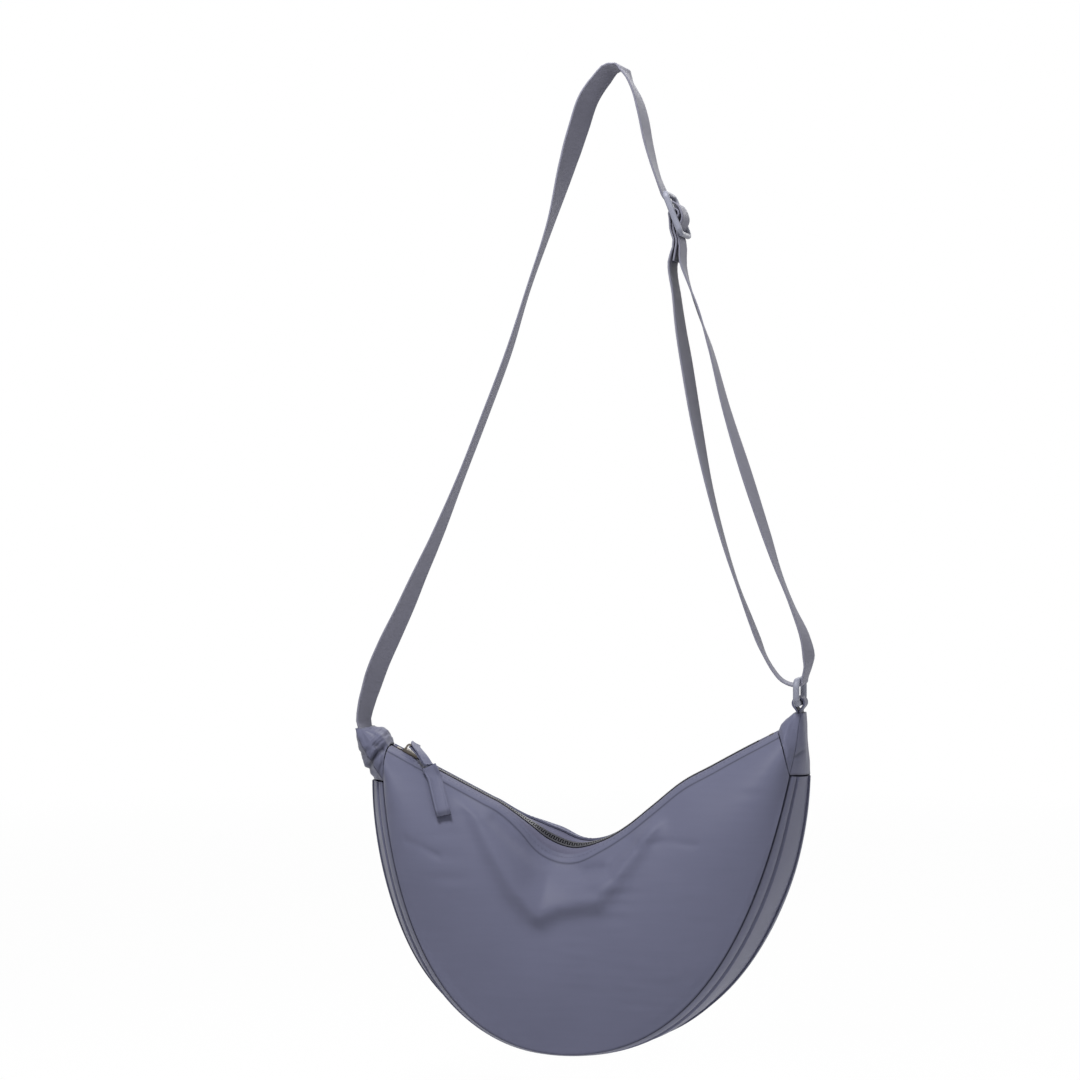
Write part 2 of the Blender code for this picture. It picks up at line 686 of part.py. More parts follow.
def strap_route():
    """Points of the webbing's middle with their width directions."""
    web = WEB_THICKNESS
    ply = web + WEB_GAP
    mouth = flat(-STRAP_REACH, -STRAP_DROP)
    slope = (CREST.at(0.0) + SEAM.at(0.0)) / 2 - mouth
    corner = turned(CORNER_TURN)
    route = [(mouth + slope.normalized() * WEB_INSERT, corner), (mouth, corner)]
    rest = [flat(WEB_REST * share, web / 2) for share in (-1.0, -0.5, 0.5, 1.0)]
    route += stretch(mouth, rest[0], LEFT_BRANCH_SHARES)
    route += [(point, turned(HOOK_TURN)) for point in rest]

    middle, down, wide, out = adjuster_axes()
    pitch = BAR_PITCH
    near = BAR_THICKNESS / 2 + WEB_GAP + web / 2
    round_bar = math.hypot(BAR_THICKNESS, BAR_WIDTH) / 2 + GAP + web / 2
    far = round_bar + ply

    def local(rows):
        return [(middle + down * along + out * aside, wide) for along, aside in rows]

    run = local([(-pitch * 1.25, -near * 1.05), (-pitch, -near * 1.05),
                 (-pitch * 0.80, -near * 0.80), (-pitch * 0.58, near * 0.45),
                 (-pitch * 0.32, far * 0.86), (0.0, far), (pitch * 0.32, far * 0.86),
                 (pitch * 0.58, near * 0.45), (pitch * 0.80, -near * 0.80),
                 (pitch, -near * 1.05), (pitch * 1.15, -near * 1.10)])
    route += stretch(rest[-1], run[0][0], RIGHT_BRANCH_SHARES) + run

    bar = flat(RING_X, -RING_TOP_DROP)
    wrap = RING_BAR / 2 + WEB_GAP + web / 2
    bend = [(bar + flat(math.cos(angle), math.sin(angle)) * wrap, turned(0))
            for angle in (math.radians(degrees) for degrees in (10, -25, -60, -95))]
    route += stretch(run[-1][0], bend[0][0], RIGHT_STRAND_SHARES) + bend

    tail = near * 1.05 + ply
    lane = tail + ply
    rise = local([(pitch * 1.10, -lane * 1.03), (pitch * 0.80, -lane * 0.98),
                  (pitch * 0.60, -lane * 0.93), (pitch * 0.36, -lane * 0.77),
                  (pitch * 0.10, -round_bar * 1.12)])
    route += stretch(bend[-1][0], rise[0][0], LEFT_STRAND_SHARES) + rise
    route += local([(math.cos(angle) * round_bar, math.sin(angle) * round_bar)
                    for angle in (math.radians(degrees) for degrees in range(-120, -331, -30))])
    return route + local([(round_bar * 1.06, -near * 0.10), (pitch * 0.30, -near * 0.66),
                          (pitch * 0.50, -near * 1.25), (pitch * 0.75, -tail * 0.93),
                          (pitch, -tail * 0.97), (pitch * 1.25, -tail * 1.14),
                          (pitch * 1.50, -tail * 1.58), (pitch * 2.0, -tail * 2.53)])


def piece_steps(start, end):
    """Parts that a piece is drawn in. The level rest on the hook stays one flat part."""
    if start.z == end.z:
        return 1
    span = (end - start).length
    if span < WEB_WIDTH / 5:
        return 2
    return max(1, min(3, round(span / (WEB_WIDTH * 0.45))))


def make_strap(webbing):
    route = strap_route()
    points = [point for point, _ in route]
    path, sides = [], []
    for index in range(len(route) - 1):
        steps = piece_steps(points[index], points[index + 1])
        path += smooth_piece(points, index, steps)
        sides += [lerp(route[index][1], route[index + 1][1], step / steps)
                  for step in range(steps)]
    path.append(points[-1])
    sides.append(route[-1][1])
    make_ribbon("shoulder_strap", path, sides, WEB_WIDTH, WEB_THICKNESS, webbing)


def smooth_piece(points, index, steps):
    """The smooth curve from one point to the next, without its last point."""
    start, end = points[index], points[index + 1]
    span = (end - start).length
    before = points[max(index - 1, 0)]
    after = points[min(index + 2, len(points) - 1)]

    def slope(first, middle, last):
        a, b = (middle - first).length, (last - middle).length
        if a == 0:
            return (last - middle) / b
        if b == 0:
            return (middle - first) / a
        return ((middle - first) / a * b + (last - middle) / b * a) / (a + b)

    leave, arrive = slope(before, start, end) * span, slope(start, end, after) * span
    piece = []
    for step in range(steps):
        t = step / steps
        piece.append(start * (2 * t**3 - 3 * t**2 + 1) + end * (3 * t**2 - 2 * t**3)
                     + leave * (t**3 - 2 * t**2 + t) + arrive * (t**3 - t**2))
    return piece


# Corner patches. Each is a tube from the body's end to a narrow mouth.

FRONT_SHARES = (0.0, 0.05, 0.33, 0.68)       # heights on a panel that the patch meets
SIDE_SHARES = (-0.62, -0.3, 0.0, 0.3, 0.62)  # places across the gusset


def end_section(u, depth):
    """Points round the body at one end, at a depth under its surface."""
    def panel(v, side):
        def surface(a, b):
            return panel_point(a, b, side)
        return surface(u, v) + normal_of(surface, u, v) * side * -depth

    def side_wall(w):
        return gusset_point(u, w) + normal_of(gusset_point, u, w) * depth

    front = [panel(v, -1) for v in FRONT_SHARES]
    back = [panel(v, 1) for v in reversed(FRONT_SHARES)]
    walls = [side_wall(w) for w in SIDE_SHARES]
    corners = []
    for side in (-1, 1):
        inward = (panel(1.0, side) - panel_point(u, 1.0, side)
                  + side_wall(side) - gusset_point(u, side))
        corners.append(panel_point(u, 1.0, side) + inward)
    top = CREST.at(u) + Vector((0.0, 0.0, FABRIC + GAP + TAPE_THICKNESS / 2 - depth))
    rim = Vector((0.0, TOOTH_BACK, 0.0))
    return front + [corners[0]] + walls + [corners[1]] + back + [top + rim, top - rim]


MOUTH_SQUARE_SHARE = 0.4     # 1 is an ellipse, and less is squarer


def mouth_section(middle, half_x, half_y, turn, count):
    """A rounded slot round the strap or the loop, in step with end_section."""
    loop = []
    for index in range(count):
        angle = 2 * math.pi * (index + 1.2) / count
        x = math.copysign(abs(math.cos(angle))**MOUTH_SQUARE_SHARE, math.cos(angle)) * half_x
        y = -math.copysign(abs(math.sin(angle))**MOUTH_SQUARE_SHARE, math.sin(angle)) * half_y
        loop.append(middle + Vector((x * math.cos(turn) + y * math.sin(turn),
                                     y * math.cos(turn) - x * math.sin(turn), 0.0)))
    return loop


def make_patch(name, side, mouth, half_x, half_y, turn, swell, fabric):
    """A fabric shell from the body's end to its mouth, with the given outward swell."""
    layers = []
    gap_share = SEAM_GAP / CREST.length
    for layer in (0, 1):
        first = end_section(-gap_share if side < 0 else 1 + gap_share, FABRIC * layer)
        grow = FABRIC * (1 - layer)
        last = mouth_section(mouth, half_x + grow, half_y + grow, turn, len(first))
        if side > 0:
            last = [Vector((2 * mouth.x - point.x, point.y, point.z)) for point in last]
        loops = [first]
        for share, bulge in swell:
            middle = sum(first, Vector()) / len(first)
            ring = []
            for a, b in zip(first, last):
                point = lerp(a, b, share)
                centre = lerp(middle, mouth, share)
                ring.append(point + (point - centre).normalized() * bulge)
            loops.append(ring)
        loops.append(last)
        layers.append(loops)
    columns = len(layers[0][0])
    rows = len(layers[0])
    points = [point for loops in layers for loop in loops for point in loop]
    faces = []
    add_grid(faces, rows, columns, 0, closed=True)
    add_grid(faces, rows, columns, rows * columns, closed=True)
    for row in (0, rows - 1):
        for column in range(columns):
            right = (column + 1) % columns
            a, b = row * columns + column, row * columns + right
            faces.append((a, b, b + rows * columns, a + rows * columns))
    make_object(name, points, faces, fabric)


LEFT_SWELL = ((0.2, 0.0024), (0.4, 0.0042), (0.6, 0.0046), (0.8, 0.0034))
RIGHT_SWELL = ((0.25, 0.0012), (0.5, 0.0010), (0.75, 0.0004))


def make_patches(fabric):
    room = GAP * 2
    make_patch("left_corner_patch", -1, flat(-STRAP_REACH, -STRAP_DROP),
               WEB_THICKNESS / 2 + room * 1.5, WEB_WIDTH / 2 + room,
               math.radians(CORNER_TURN), LEFT_SWELL, fabric)
    ply = LOOP_THICKNESS + GAP
    mouth = flat(RING_X, -RING_TOP_DROP - RING_BAR_SPACING - LOOP_NECK)
    make_patch("right_corner_patch", 1, mouth, ply + room,
               LOOP_WIDTH / 2 + room, 0.0, RIGHT_SWELL, fabric)


def make_corner_loop(fabric):
    """A folded fabric strip over the ring's lower bar, sewn into the right corner."""
    bar = flat(RING_X, -RING_TOP_DROP - RING_BAR_SPACING)
    wrap = RING_BAR / 2 + GAP + LOOP_THICKNESS / 2
    ply = (LOOP_THICKNESS + GAP) / 2
    neck = flat(0.0, -LOOP_NECK)
    inward = ((CREST.at(1.0) + SEAM.at(1.0)) / 2 - bar - neck).normalized() * LOOP_INSERT
    legs = [[neck + inward + flat(x, 0.0), neck + flat(x, 0.0), neck * 0.72 + flat(x * 1.35, 0.0)]
            for x in (ply, -ply)]
    arc = [flat(math.cos(a), math.sin(a)) * wrap
           for a in (math.radians(degrees) for degrees in range(-30, 211, 30))]
    path = [bar + point for point in smooth_curve(legs[0] + arc + legs[1][::-1], 2)]
    make_ribbon("corner_loop", path, [Vector((0.0, 1.0, 0.0))] * len(path), LOOP_WIDTH,
                LOOP_THICKNESS, fabric)


def make_ring(plastic):
    """A rounded rectangular ring, wide enough for the webbing."""
    half_y = WEB_WIDTH / 2 + RING_SIDE_CLEARANCE + RING_BAR / 2
    half_z = RING_BAR_SPACING / 2
    centre = flat(RING_X, -RING_TOP_DROP - half_z)
    corner = RING_BAR_SPACING * 0.30
    loops = []
    for quarter, (y, z) in enumerate(((1, 1), (-1, 1), (-1, -1), (1, -1))):
        for step in range(4):
            angle = math.radians(90 * quarter + 30 * step)
            out = Vector((0.0, math.cos(angle), math.sin(angle)))
            pivot = centre + Vector((0.0, y * (half_y - corner), z * (half_z - corner)))
            loop = []
            for turn in range(10):
                phase = math.radians(36 * turn)
                loop.append(pivot + out * (corner + math.cos(phase) * RING_BAR / 2)
                            + Vector((math.sin(phase) * RING_BAR / 2, 0.0, 0.0)))
            loops.append(loop)
    make_tube("corner_ring", loops, plastic, closed=True)


def make_adjuster(plastic):
    """A tri-glide: two rails and three bars, moulded in one piece."""
    middle, down, wide, out = adjuster_axes()
    inner = WEB_WIDTH / 2 + RAIL_CLEARANCE
    reach = BAR_PITCH + BAR_WIDTH / 2
    along = [-reach, -reach + BAR_WIDTH, -BAR_WIDTH / 2, BAR_WIDTH / 2,
             reach - BAR_WIDTH, reach]
    aside = [-inner - RAIL_WIDTH, -inner, inner, inner + RAIL_WIDTH]
    holes = ((1, 1), (3, 1))
    half = BAR_THICKNESS / 2
    points, faces = [], []
    for level in (-half, half):
        for a in along:
            for b in aside:
                points.append(middle + down * a + wide * b + out * level)
    columns, total = len(aside), len(along) * len(aside)
    for row in range(len(along) - 1):
        for column in range(columns - 1):
            ring = [row * columns + column, row * columns + column + 1,
                    (row + 1) * columns + column + 1, (row + 1) * columns + column]
            if (row, column) in holes:
                faces += [(a, b, b + total, a + total)
                          for a, b in zip(ring, ring[1:] + ring[:1])]
            else:
                faces.append(tuple(ring))
                faces.append(tuple(index + total for index in ring))
    last = (len(along) - 1) * columns
    rim = [(c, c + 1) for c in range(columns - 1)]
    rim += [(last + c, last + c + 1) for c in range(columns - 1)]
    rim += [(r * columns, (r + 1) * columns) for r in range(len(along) - 1)]
    rim += [(r * columns + columns - 1, (r + 1) * columns + columns - 1)
            for r in range(len(along) - 1)]
    faces += [(a, b, b + total, a + total) for a, b in rim]
    frame = make_object("strap_adjuster", points, faces, plastic)
    edge = frame.modifiers.new("moulded_edges", "BEVEL")
    edge.width = BAR_THICKNESS * 0.22
    edge.segments = 1
    edge.limit_method = "ANGLE"


def hang(name, place, members):
    """An empty on a joint's axis, with the pieces and the empties that move about it."""
    empty = bpy.data.objects.new(name, None)
    empty.location = place
    bpy.context.scene.collection.objects.link(empty)
    bpy.context.view_layer.update()
    for member in members:
        item = bpy.data.objects[member]
        item.parent = empty
        item.matrix_parent_inverse = empty.matrix_world.inverted()


BAG_PIECES = (
    "front_panel", "back_panel", "gusset", "left_corner_patch", "right_corner_patch",
    "corner_loop", "zip_tape_front", "zip_tape_back", "zip_teeth_front", "zip_teeth_back",
    "zip_stop_left", "zip_stop_right", "lining_front", "lining_back", "lining_gusset",
    "inner_pocket")


def hang_pieces():
    """Puts each moving piece on its joint's axis."""
    ring_foot = flat(RING_X, -RING_TOP_DROP - RING_BAR_SPACING)
    hang("pull_hinge", bridge_bar(), ("pull_loop", "pull_tab"))
    hang("slider_track", slider_frame()[0], ("zip_slider", "pull_hinge"))
    hang("ring_hinge", ring_foot, ("corner_ring",))
    hang("bag_hinge", flat(-STRAP_REACH, -STRAP_DROP),
         BAG_PIECES + ("slider_track", "ring_hinge"))
    hang("adjuster_track", adjuster_axes()[0], ("strap_adjuster",))


def build():
    clear_scene()
    fabric = make_material("shell_fabric", FABRIC_COLOUR, 0.45)
    webbing = make_material("webbing", WEB_COLOUR, 0.65)
    plastic = make_material("plastic", PLASTIC_COLOUR, 0.35)
    metal = make_material("slider_metal", METAL_COLOUR, 0.35, 1.0)
    lining = make_material("lining", LINING_COLOUR, 0.60)
    teeth = make_material("zip_teeth", TEETH_COLOUR, 0.50)
    make_panels(fabric, lining)
    make_pocket(lining)
    make_gusset(fabric, lining)
    make_tapes(webbing)
    make_teeth(teeth)
    make_stops(metal)
    make_slider(metal)
    make_pull(fabric)
    make_strap(webbing)
    make_patches(fabric)
    make_corner_loop(fabric)
    make_ring(plastic)
    make_adjuster(plastic)
    hang_pieces()


build()
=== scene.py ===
"""Looks of the soft half-moon crossbody bag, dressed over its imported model."""
import bisect
from math import copysign, cos, exp, hypot, pi, radians, sin

import bpy
import bmesh
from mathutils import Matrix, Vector, noise


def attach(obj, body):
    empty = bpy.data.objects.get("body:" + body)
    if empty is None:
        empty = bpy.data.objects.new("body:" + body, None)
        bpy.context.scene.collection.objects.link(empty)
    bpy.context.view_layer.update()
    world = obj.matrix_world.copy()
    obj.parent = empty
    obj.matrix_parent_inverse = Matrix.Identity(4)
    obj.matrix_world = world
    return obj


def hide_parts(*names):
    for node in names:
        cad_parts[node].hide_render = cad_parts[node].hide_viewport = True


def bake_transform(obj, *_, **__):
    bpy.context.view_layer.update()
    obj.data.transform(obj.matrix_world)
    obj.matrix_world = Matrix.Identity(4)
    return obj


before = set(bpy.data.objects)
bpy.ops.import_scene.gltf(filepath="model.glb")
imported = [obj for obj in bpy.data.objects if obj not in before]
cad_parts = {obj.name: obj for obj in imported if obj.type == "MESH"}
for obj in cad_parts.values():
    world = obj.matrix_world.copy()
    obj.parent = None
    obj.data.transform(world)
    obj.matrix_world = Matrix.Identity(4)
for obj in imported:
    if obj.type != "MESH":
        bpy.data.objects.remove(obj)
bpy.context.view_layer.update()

# Sizes of the real bag in metres, the same as in the model
STRAP_DROP = 0.4300  # from the hook down to the left corner's mouth
STRAP_REACH = 0.1672  # from the hook sideways to the left corner's mouth
ZIP_DROP = 0.4419  # from the hook down to the zip's left end
ZIP_REACH = 0.1490  # from the hook sideways to the zip's left end
SEAM_DROP = 0.6340  # from the hook down to the front seam's lowest point
SEAM_SHIFT = 0.0270  # the seam's lowest point lies this far left of the hook
SEAM_HALF_WIDTH = 0.1310  # half of the front seam's width at its top
SEAM_HEIGHT = 0.1735  # height of the front seam
SEAM_LEAN = 0.0070  # the seam's top lies this far right of its foot
SEAM_TILT = 0.0035  # the right end hangs higher, and the left end lower
SEAM_FOOT_SHARE = 0.63  # handle of the seam's round foot, of its half width
SEAM_SIDE_SHARES = (0.88, 0.50)  # handle of the seam's side, of half width and height
HALF_DEPTH = 0.0380  # half of the body's depth at mid-width
END_HALF_DEPTH = 0.0200  # half of the body's depth at the corners
BACK_SPLAY = 0.0265  # the back seam lies this far outside the front one, at the sides
FOOT_SPLAY = 0.0045  # and this far below it, at its foot
END_SPLAY = 0.0135  # and this far outside it, at its ends
PANEL_CROWN = 0.0160  # how far a panel bulges beyond its own edges
GUSSET_CROWN = 0.0030
ZIP_LENGTH = 0.2530  # straight distance between the zip's ends
ZIP_DIP = 0.0641  # how far the mouth sags below the zip's left end
STRAIGHT_RUN = 0.0820  # the zip's straight left part, where the slider travels
STRAIGHT_ANGLE = radians(27.2)
CREST_SHARES = (  # the zip's curved part: share of ZIP_LENGTH, of ZIP_DIP
    (0.364, 0.782), (0.419, 0.922), (0.482, 1.000), (0.549, 0.945), (0.609, 0.813),
    (0.680, 0.587), (0.755, 0.345), (0.830, 0.181), (0.905, 0.017), (0.976, -0.131),
    (1.000, -0.181))
ROLL_PEAK = radians(42)  # the sagging mouth rolls forward by this much
ROLL_PLACE_SHARE = 0.43  # where it rolls most, as a share of the zip's length
ROLL_WIDTH_SHARE = 0.075
TAPE_FLAT = 0.0054  # the tape is flat this far from the zip's centre line
TAPE_REACH = 0.0130  # from the centre line to the fold of the panel
TAPE_FALL = 0.0032  # the tape's outer edge lies this far below its centre
TAPE_THICKNESS = 0.0006
TAPE_GAP = 0.0003  # between the tape and the back of the teeth
TOOTH_BACK = 0.0026  # the teeth's outer side, from the centre line
FABRIC = 0.0012  # shell fabric, with its backing
LINING = 0.0006
GAP = 0.0003  # clearance between pieces that touch
SEAM_GAP = 0.0007  # clearance where two sheets meet at an angle
PANEL_LAP = 0.0035  # the panels cover the tape's edge by this much
BAND_RISE = 0.0008
LINING_GAP = 0.0009  # the lining hangs this far inside the shell
POCKET_EASE = 0.0030  # the pocket's mouth stands off the lining
WEB_WIDTH = 0.0250
WEB_THICKNESS = 0.0013
WEB_GAP = 0.0004  # between plies, and between a ply and a bar
WEB_INSERT = 0.0050  # length of webbing inside the left corner
WEB_REST = 0.0024  # half of the flat stretch that lies on the hook
HOOK_TURN = 17  # degrees that the webbing is turned there
CORNER_TURN = 8  # degrees that it is turned at the left corner
ADJUSTER_X = 0.0384  # its middle bar, right of the hook
ADJUSTER_DROP = 0.0963  # its middle bar, below the hook
ADJUSTER_ANGLE = radians(21.0)  # its long side, from the vertical
ADJUSTER_TURN = 8  # degrees that its bars are turned from +Y towards +X
BAR_PITCH = 0.0140  # between the bars' centres
BAR_WIDTH = 0.0032
BAR_THICKNESS = 0.0030
RAIL_WIDTH = 0.0040
RAIL_CLEARANCE = 0.0010  # between the webbing's edge and a rail
RING_X = 0.1175  # the ring's bars, right of the hook
RING_TOP_DROP = 0.3970  # its upper bar, below the hook
RING_BAR_SPACING = 0.0144  # between the upper and the lower bar
RING_BAR = 0.0042  # bar diameter
RING_SIDE_CLEARANCE = 0.0012
LOOP_WIDTH = 0.0150
LOOP_THICKNESS = 0.0013
LOOP_NECK = 0.0065  # from the lower bar down to the right corner's mouth
LOOP_INSERT = 0.0035
SLIDER_PLACE = 0.0135  # along the zip from its left end
SLIDER_PLATE = 0.0011
SLIDER_HALF_THROAT = 0.0015  # half of the room for the teeth
BRIDGE_HEIGHT = 0.0048
BRIDGE_WIDTH = 0.0022
BRIDGE_BAR = 0.0011
PULL_PLY = 0.0009
PULL_TAB_WIDTH = 0.0096
PULL_LENGTH = 0.0560
PULL_TAB_THICKNESS = 0.0026
PULL_EASE = 0.0017  # the tab stands off the front panel by this much


ACROSS = Vector((0.0, 1.0, 0.0))  # from the front of the bag to its back
SIDES = ((-1, "front"), (1, "back"))


def lerp(first, last, share):
    return first + (last - first) * share


def spread(low, high, count):
    """Even places from low to high, with count steps between them."""
    return [lerp(low, high, step / count) for step in range(count + 1)]


def flat(x, z):
    return Vector((x, 0.0, z))


def curved(start, leave, end, arrive, t):
    """A value on the way from start to end, with its slope at both of them."""
    return (start * (2 * t**3 - 3 * t**2 + 1) + end * (3 * t**2 - 2 * t**3)
            + leave * (t**3 - 2 * t**2 + t) + arrive * (t**3 - t**2))


def eased(before, start, end, after, t, pull):
    """A smooth value between start and end, in step with the values beside them."""
    return curved(start, (end - before) * pull, end, (after - start) * pull, t)


def squarish(angle, power):
    """A place on the unit circle, moved out towards a square by a power under 1."""
    x, y = cos(angle), sin(angle)
    return copysign(abs(x)**power, x), copysign(abs(y)**power, y)


def smooth_curve(points, steps):
    """Points on a smooth curve that passes through the given ones."""
    around = [points[0] * 2 - points[1]] + points + [points[-1] * 2 - points[-2]]
    curve = [eased(*around[index:index + 4], step / steps, 0.5)
             for index in range(len(points) - 1) for step in range(steps)]
    return curve + points[-1:]


class Curve:
    """A polyline that is read by the share of its length."""

    def __init__(self, points):
        self.points = points
        self.marks = [0.0]
        for first, last in zip(points, points[1:]):
            self.marks.append(self.marks[-1] + (last - first).length)
        self.length = self.marks[-1]

    def at(self, share):
        place = share * self.length
        last = len(self.points) - 1
        index = max(1, min(last, bisect.bisect_right(self.marks, place)))
        low, high = self.marks[index - 1], self.marks[index]
        return lerp(self.points[index - 1], self.points[index], (place - low) / (high - low))

    def heading(self, share, reach):
        """The direction at a share, read over a reach to both sides of it."""
        return (self.at(min(share + reach, 1)) - self.at(max(share - reach, 0))).normalized()


CREST_STEPS = 16  # steps between two points of the zip's curved part
SEAM_STEPS = 120  # steps of each half of the seam


def crest_curve():
    """The zip's centre line, from its left end to its right end."""
    start = flat(-ZIP_REACH, -ZIP_DROP)
    run = flat(cos(STRAIGHT_ANGLE), -sin(STRAIGHT_ANGLE)) * STRAIGHT_RUN
    bend = [start + run * 0.9, start + run]
    bend += [start + flat(ZIP_LENGTH * x, -ZIP_DIP * z) for x, z in CREST_SHARES]
    return Curve([start] + smooth_curve(bend, CREST_STEPS))


def seam_curve():
    """The front panel's round seam, from its left end to its right end."""
    side_x, side_z = SEAM_SIDE_SHARES
    half = []
    for t in spread(0.0, 1.0, SEAM_STEPS):
        x = 3 * (1 - t)**2 * t * SEAM_FOOT_SHARE + 3 * (1 - t) * t**2 * side_x + t**3
        z = 3 * (1 - t) * t**2 * side_z + t**3
        half.append((x, z))
    outline = [(-x, z) for x, z in reversed(half[1:])] + half
    return Curve([flat(-SEAM_SHIFT + x * SEAM_HALF_WIDTH + z * SEAM_LEAN,
                       -SEAM_DROP + z * SEAM_HEIGHT + x * SEAM_TILT)
                  for x, z in outline])


CREST = crest_curve()
SEAM = seam_curve()
CREST_REACH = 0.012  # the zip's direction is read over this share of it, to both sides
SEAM_REACH = 0.014
NORMAL_REACH = 0.003  # and a surface's normal over this share
LAP_SHARE = 0.05  # share of a panel's height that lies on the tape
END_CROWN_SHARE = 0.45  # how much of its crown a panel has at its ends
CROWN_POWER = 0.8  # under 1 lifts the crown's peak


def middle_share(u, power):
    """0 at both ends of the body and 1 in its middle."""
    return 1 - abs(2 * u - 1)**power


def half_depth(u):
    return lerp(END_HALF_DEPTH, HALF_DEPTH, middle_share(u, 5))


def seam_outward(u):
    along = SEAM.heading(u, SEAM_REACH)
    return Vector((along.z, 0.0, -along.x))


def seam_point(u, side):
    """The seam of the front panel (side -1) or of the back panel (side 1)."""
    point = SEAM.at(u)
    if side > 0:
        outward = seam_outward(u)
        aside = lerp(END_SPLAY, BACK_SPLAY, middle_share(u, 4))
        point = point + outward * lerp(FOOT_SPLAY, aside, abs(outward.x)**1.5)
    return point


def crest_axes(u):
    """Point of the zip's centre line, its direction to the back and its normal."""
    along = CREST.heading(u, CREST_REACH)
    level = Vector((-along.z, 0.0, along.x))
    roll = ROLL_PEAK * exp(-((u - ROLL_PLACE_SHARE) / ROLL_WIDTH_SHARE)**2)
    return (CREST.at(u), ACROSS * cos(roll) + level * sin(roll),
            level * cos(roll) - ACROSS * sin(roll))


def tape_fall(distance):
    """How far the zip tape lies below its centre, at a distance from it."""
    share = max(0.0, distance - TAPE_FLAT) / (TAPE_REACH - TAPE_FLAT)
    return TAPE_FALL * share


def tape_point(u, v, side):
    """Middle of a zip tape, from the teeth (v = 0) out to its sewn edge (v = 1)."""
    middle, back, up = crest_axes(u)
    distance = lerp(TOOTH_BACK + TAPE_GAP, TAPE_REACH - FABRIC - SEAM_GAP, v)
    return middle + back * side * distance - up * tape_fall(distance)


def panel_point(u, v, side):
    """Outer surface of a panel, from the zip (v = 0) down to the seam (v = 1)."""
    middle, back, up = crest_axes(u)
    lift = FABRIC + SEAM_GAP + TAPE_THICKNESS / 2
    distance = lerp(TAPE_REACH - PANEL_LAP, TAPE_REACH, min(1.0, v / LAP_SHARE))
    top = middle + back * side * distance + up * (lift - tape_fall(distance))
    if v < LAP_SHARE:
        return top
    share = (v - LAP_SHARE) / (1 - LAP_SHARE)
    point = lerp(top, seam_point(u, side), share)
    crown = PANEL_CROWN * lerp(END_CROWN_SHARE, 1.0, middle_share(u, 4))
    point.y = (lerp(top.y, side * half_depth(u), share)
               + side * crown * sin(pi * share**CROWN_POWER))
    return point


def gusset_point(u, w):
    """Outer surface of the gusset, from the front seam (w = -1) to the back (w = 1)."""
    point = lerp(seam_point(u, -1), seam_point(u, 1), (w + 1) / 2)
    point += seam_outward(u) * GUSSET_CROWN * (1 - w * w)
    point.y = half_depth(u) * w
    return point


def normal_of(surface, u, v):
    """Outward normal of a surface that is read as surface(u, v)."""
    low, high = max(u - NORMAL_REACH, 0), min(u + NORMAL_REACH, 1)
    along = surface(high, v) - surface(low, v)
    across = surface(u, v + NORMAL_REACH) - surface(u, v - NORMAL_REACH)
    return along.cross(across).normalized()


def add_grid(faces, rows, columns, start, closed=False):
    """Quads of a grid whose points are stored row by row from an index."""
    for row in range(rows - 1):
        for column in range(columns if closed else columns - 1):
            right = (column + 1) % columns
            faces.append((start + row * columns + column, start + row * columns + right,
                          start + (row + 1) * columns + right,
                          start + (row + 1) * columns + column))


def slider_frame():
    """The slider's middle, with the directions along the zip and out of it."""
    along = flat(cos(STRAIGHT_ANGLE), -sin(STRAIGHT_ANGLE))
    up = flat(sin(STRAIGHT_ANGLE), cos(STRAIGHT_ANGLE))
    middle = flat(-ZIP_REACH, -ZIP_DROP) + along * SLIDER_PLACE
    return middle, along, ACROSS, up


PULL_LOOP_SHARES = (  # the loop's route from the bridge: along, back and up
    (0.035, -0.100, 0.000), (0.150, -0.215, -0.020), (0.280, -0.320, -0.065))
PULL_SPREAD_SHARES = (1.9, 1.25, 1.0)  # how far apart the loop's two plies lie, there
PULL_TAB_SHARES = (  # places on the front panel under the tab: across and down
    (0.122, 0.100), (0.137, 0.150), (0.158, 0.215), (0.178, 0.270))


def bridge_bar():
    """Middle of the bridge's top bar, which carries the pull."""
    middle, _, _, up = slider_frame()
    return middle + up * (SLIDER_HALF_THROAT + SLIDER_PLATE / 2 + BRIDGE_HEIGHT
                          - BRIDGE_BAR / 2)


LEFT_BRANCH_SHARES = (  # from the left corner up to the hook
    (0.031, 0.0096, 15), (0.055, 0.0115, 19), (0.079, 0.0130, 22), (0.129, 0.0110, 23),
    (0.179, 0.0070, 19), (0.229, 0.0044, 14), (0.280, 0.0010, 9), (0.378, -0.0020, 1),
    (0.476, -0.0030, 0), (0.573, -0.0026, -1), (0.667, 0.0030, -4), (0.762, 0.0064, 1),
    (0.856, 0.0140, 19), (0.903, 0.0170, 24), (0.950, 0.0180, 24), (0.977, 0.0110, 22))
RIGHT_BRANCH_SHARES = (  # from the hook down to the adjuster
    (0.045, 0.012, 13), (0.114, 0.0245, 6), (0.249, 0.043, 9), (0.376, 0.038, 11),
    (0.622, 0.007, 9.5), (0.874, -0.006, 6))
RIGHT_STRAND_SHARES = (  # from the adjuster down to the ring
    (0.052, -0.012, 6), (0.100, -0.0115, 0), (0.163, -0.0075, -3), (0.237, -0.004, 3),
    (0.383, -0.006, 9), (0.529, -0.002, 14), (0.676, 0.004, 11), (0.750, 0.0074, 6),
    (0.843, 0.017, 1), (0.918, 0.025, 5), (0.953, 0.022, 8), (0.974, 0.015, 3))
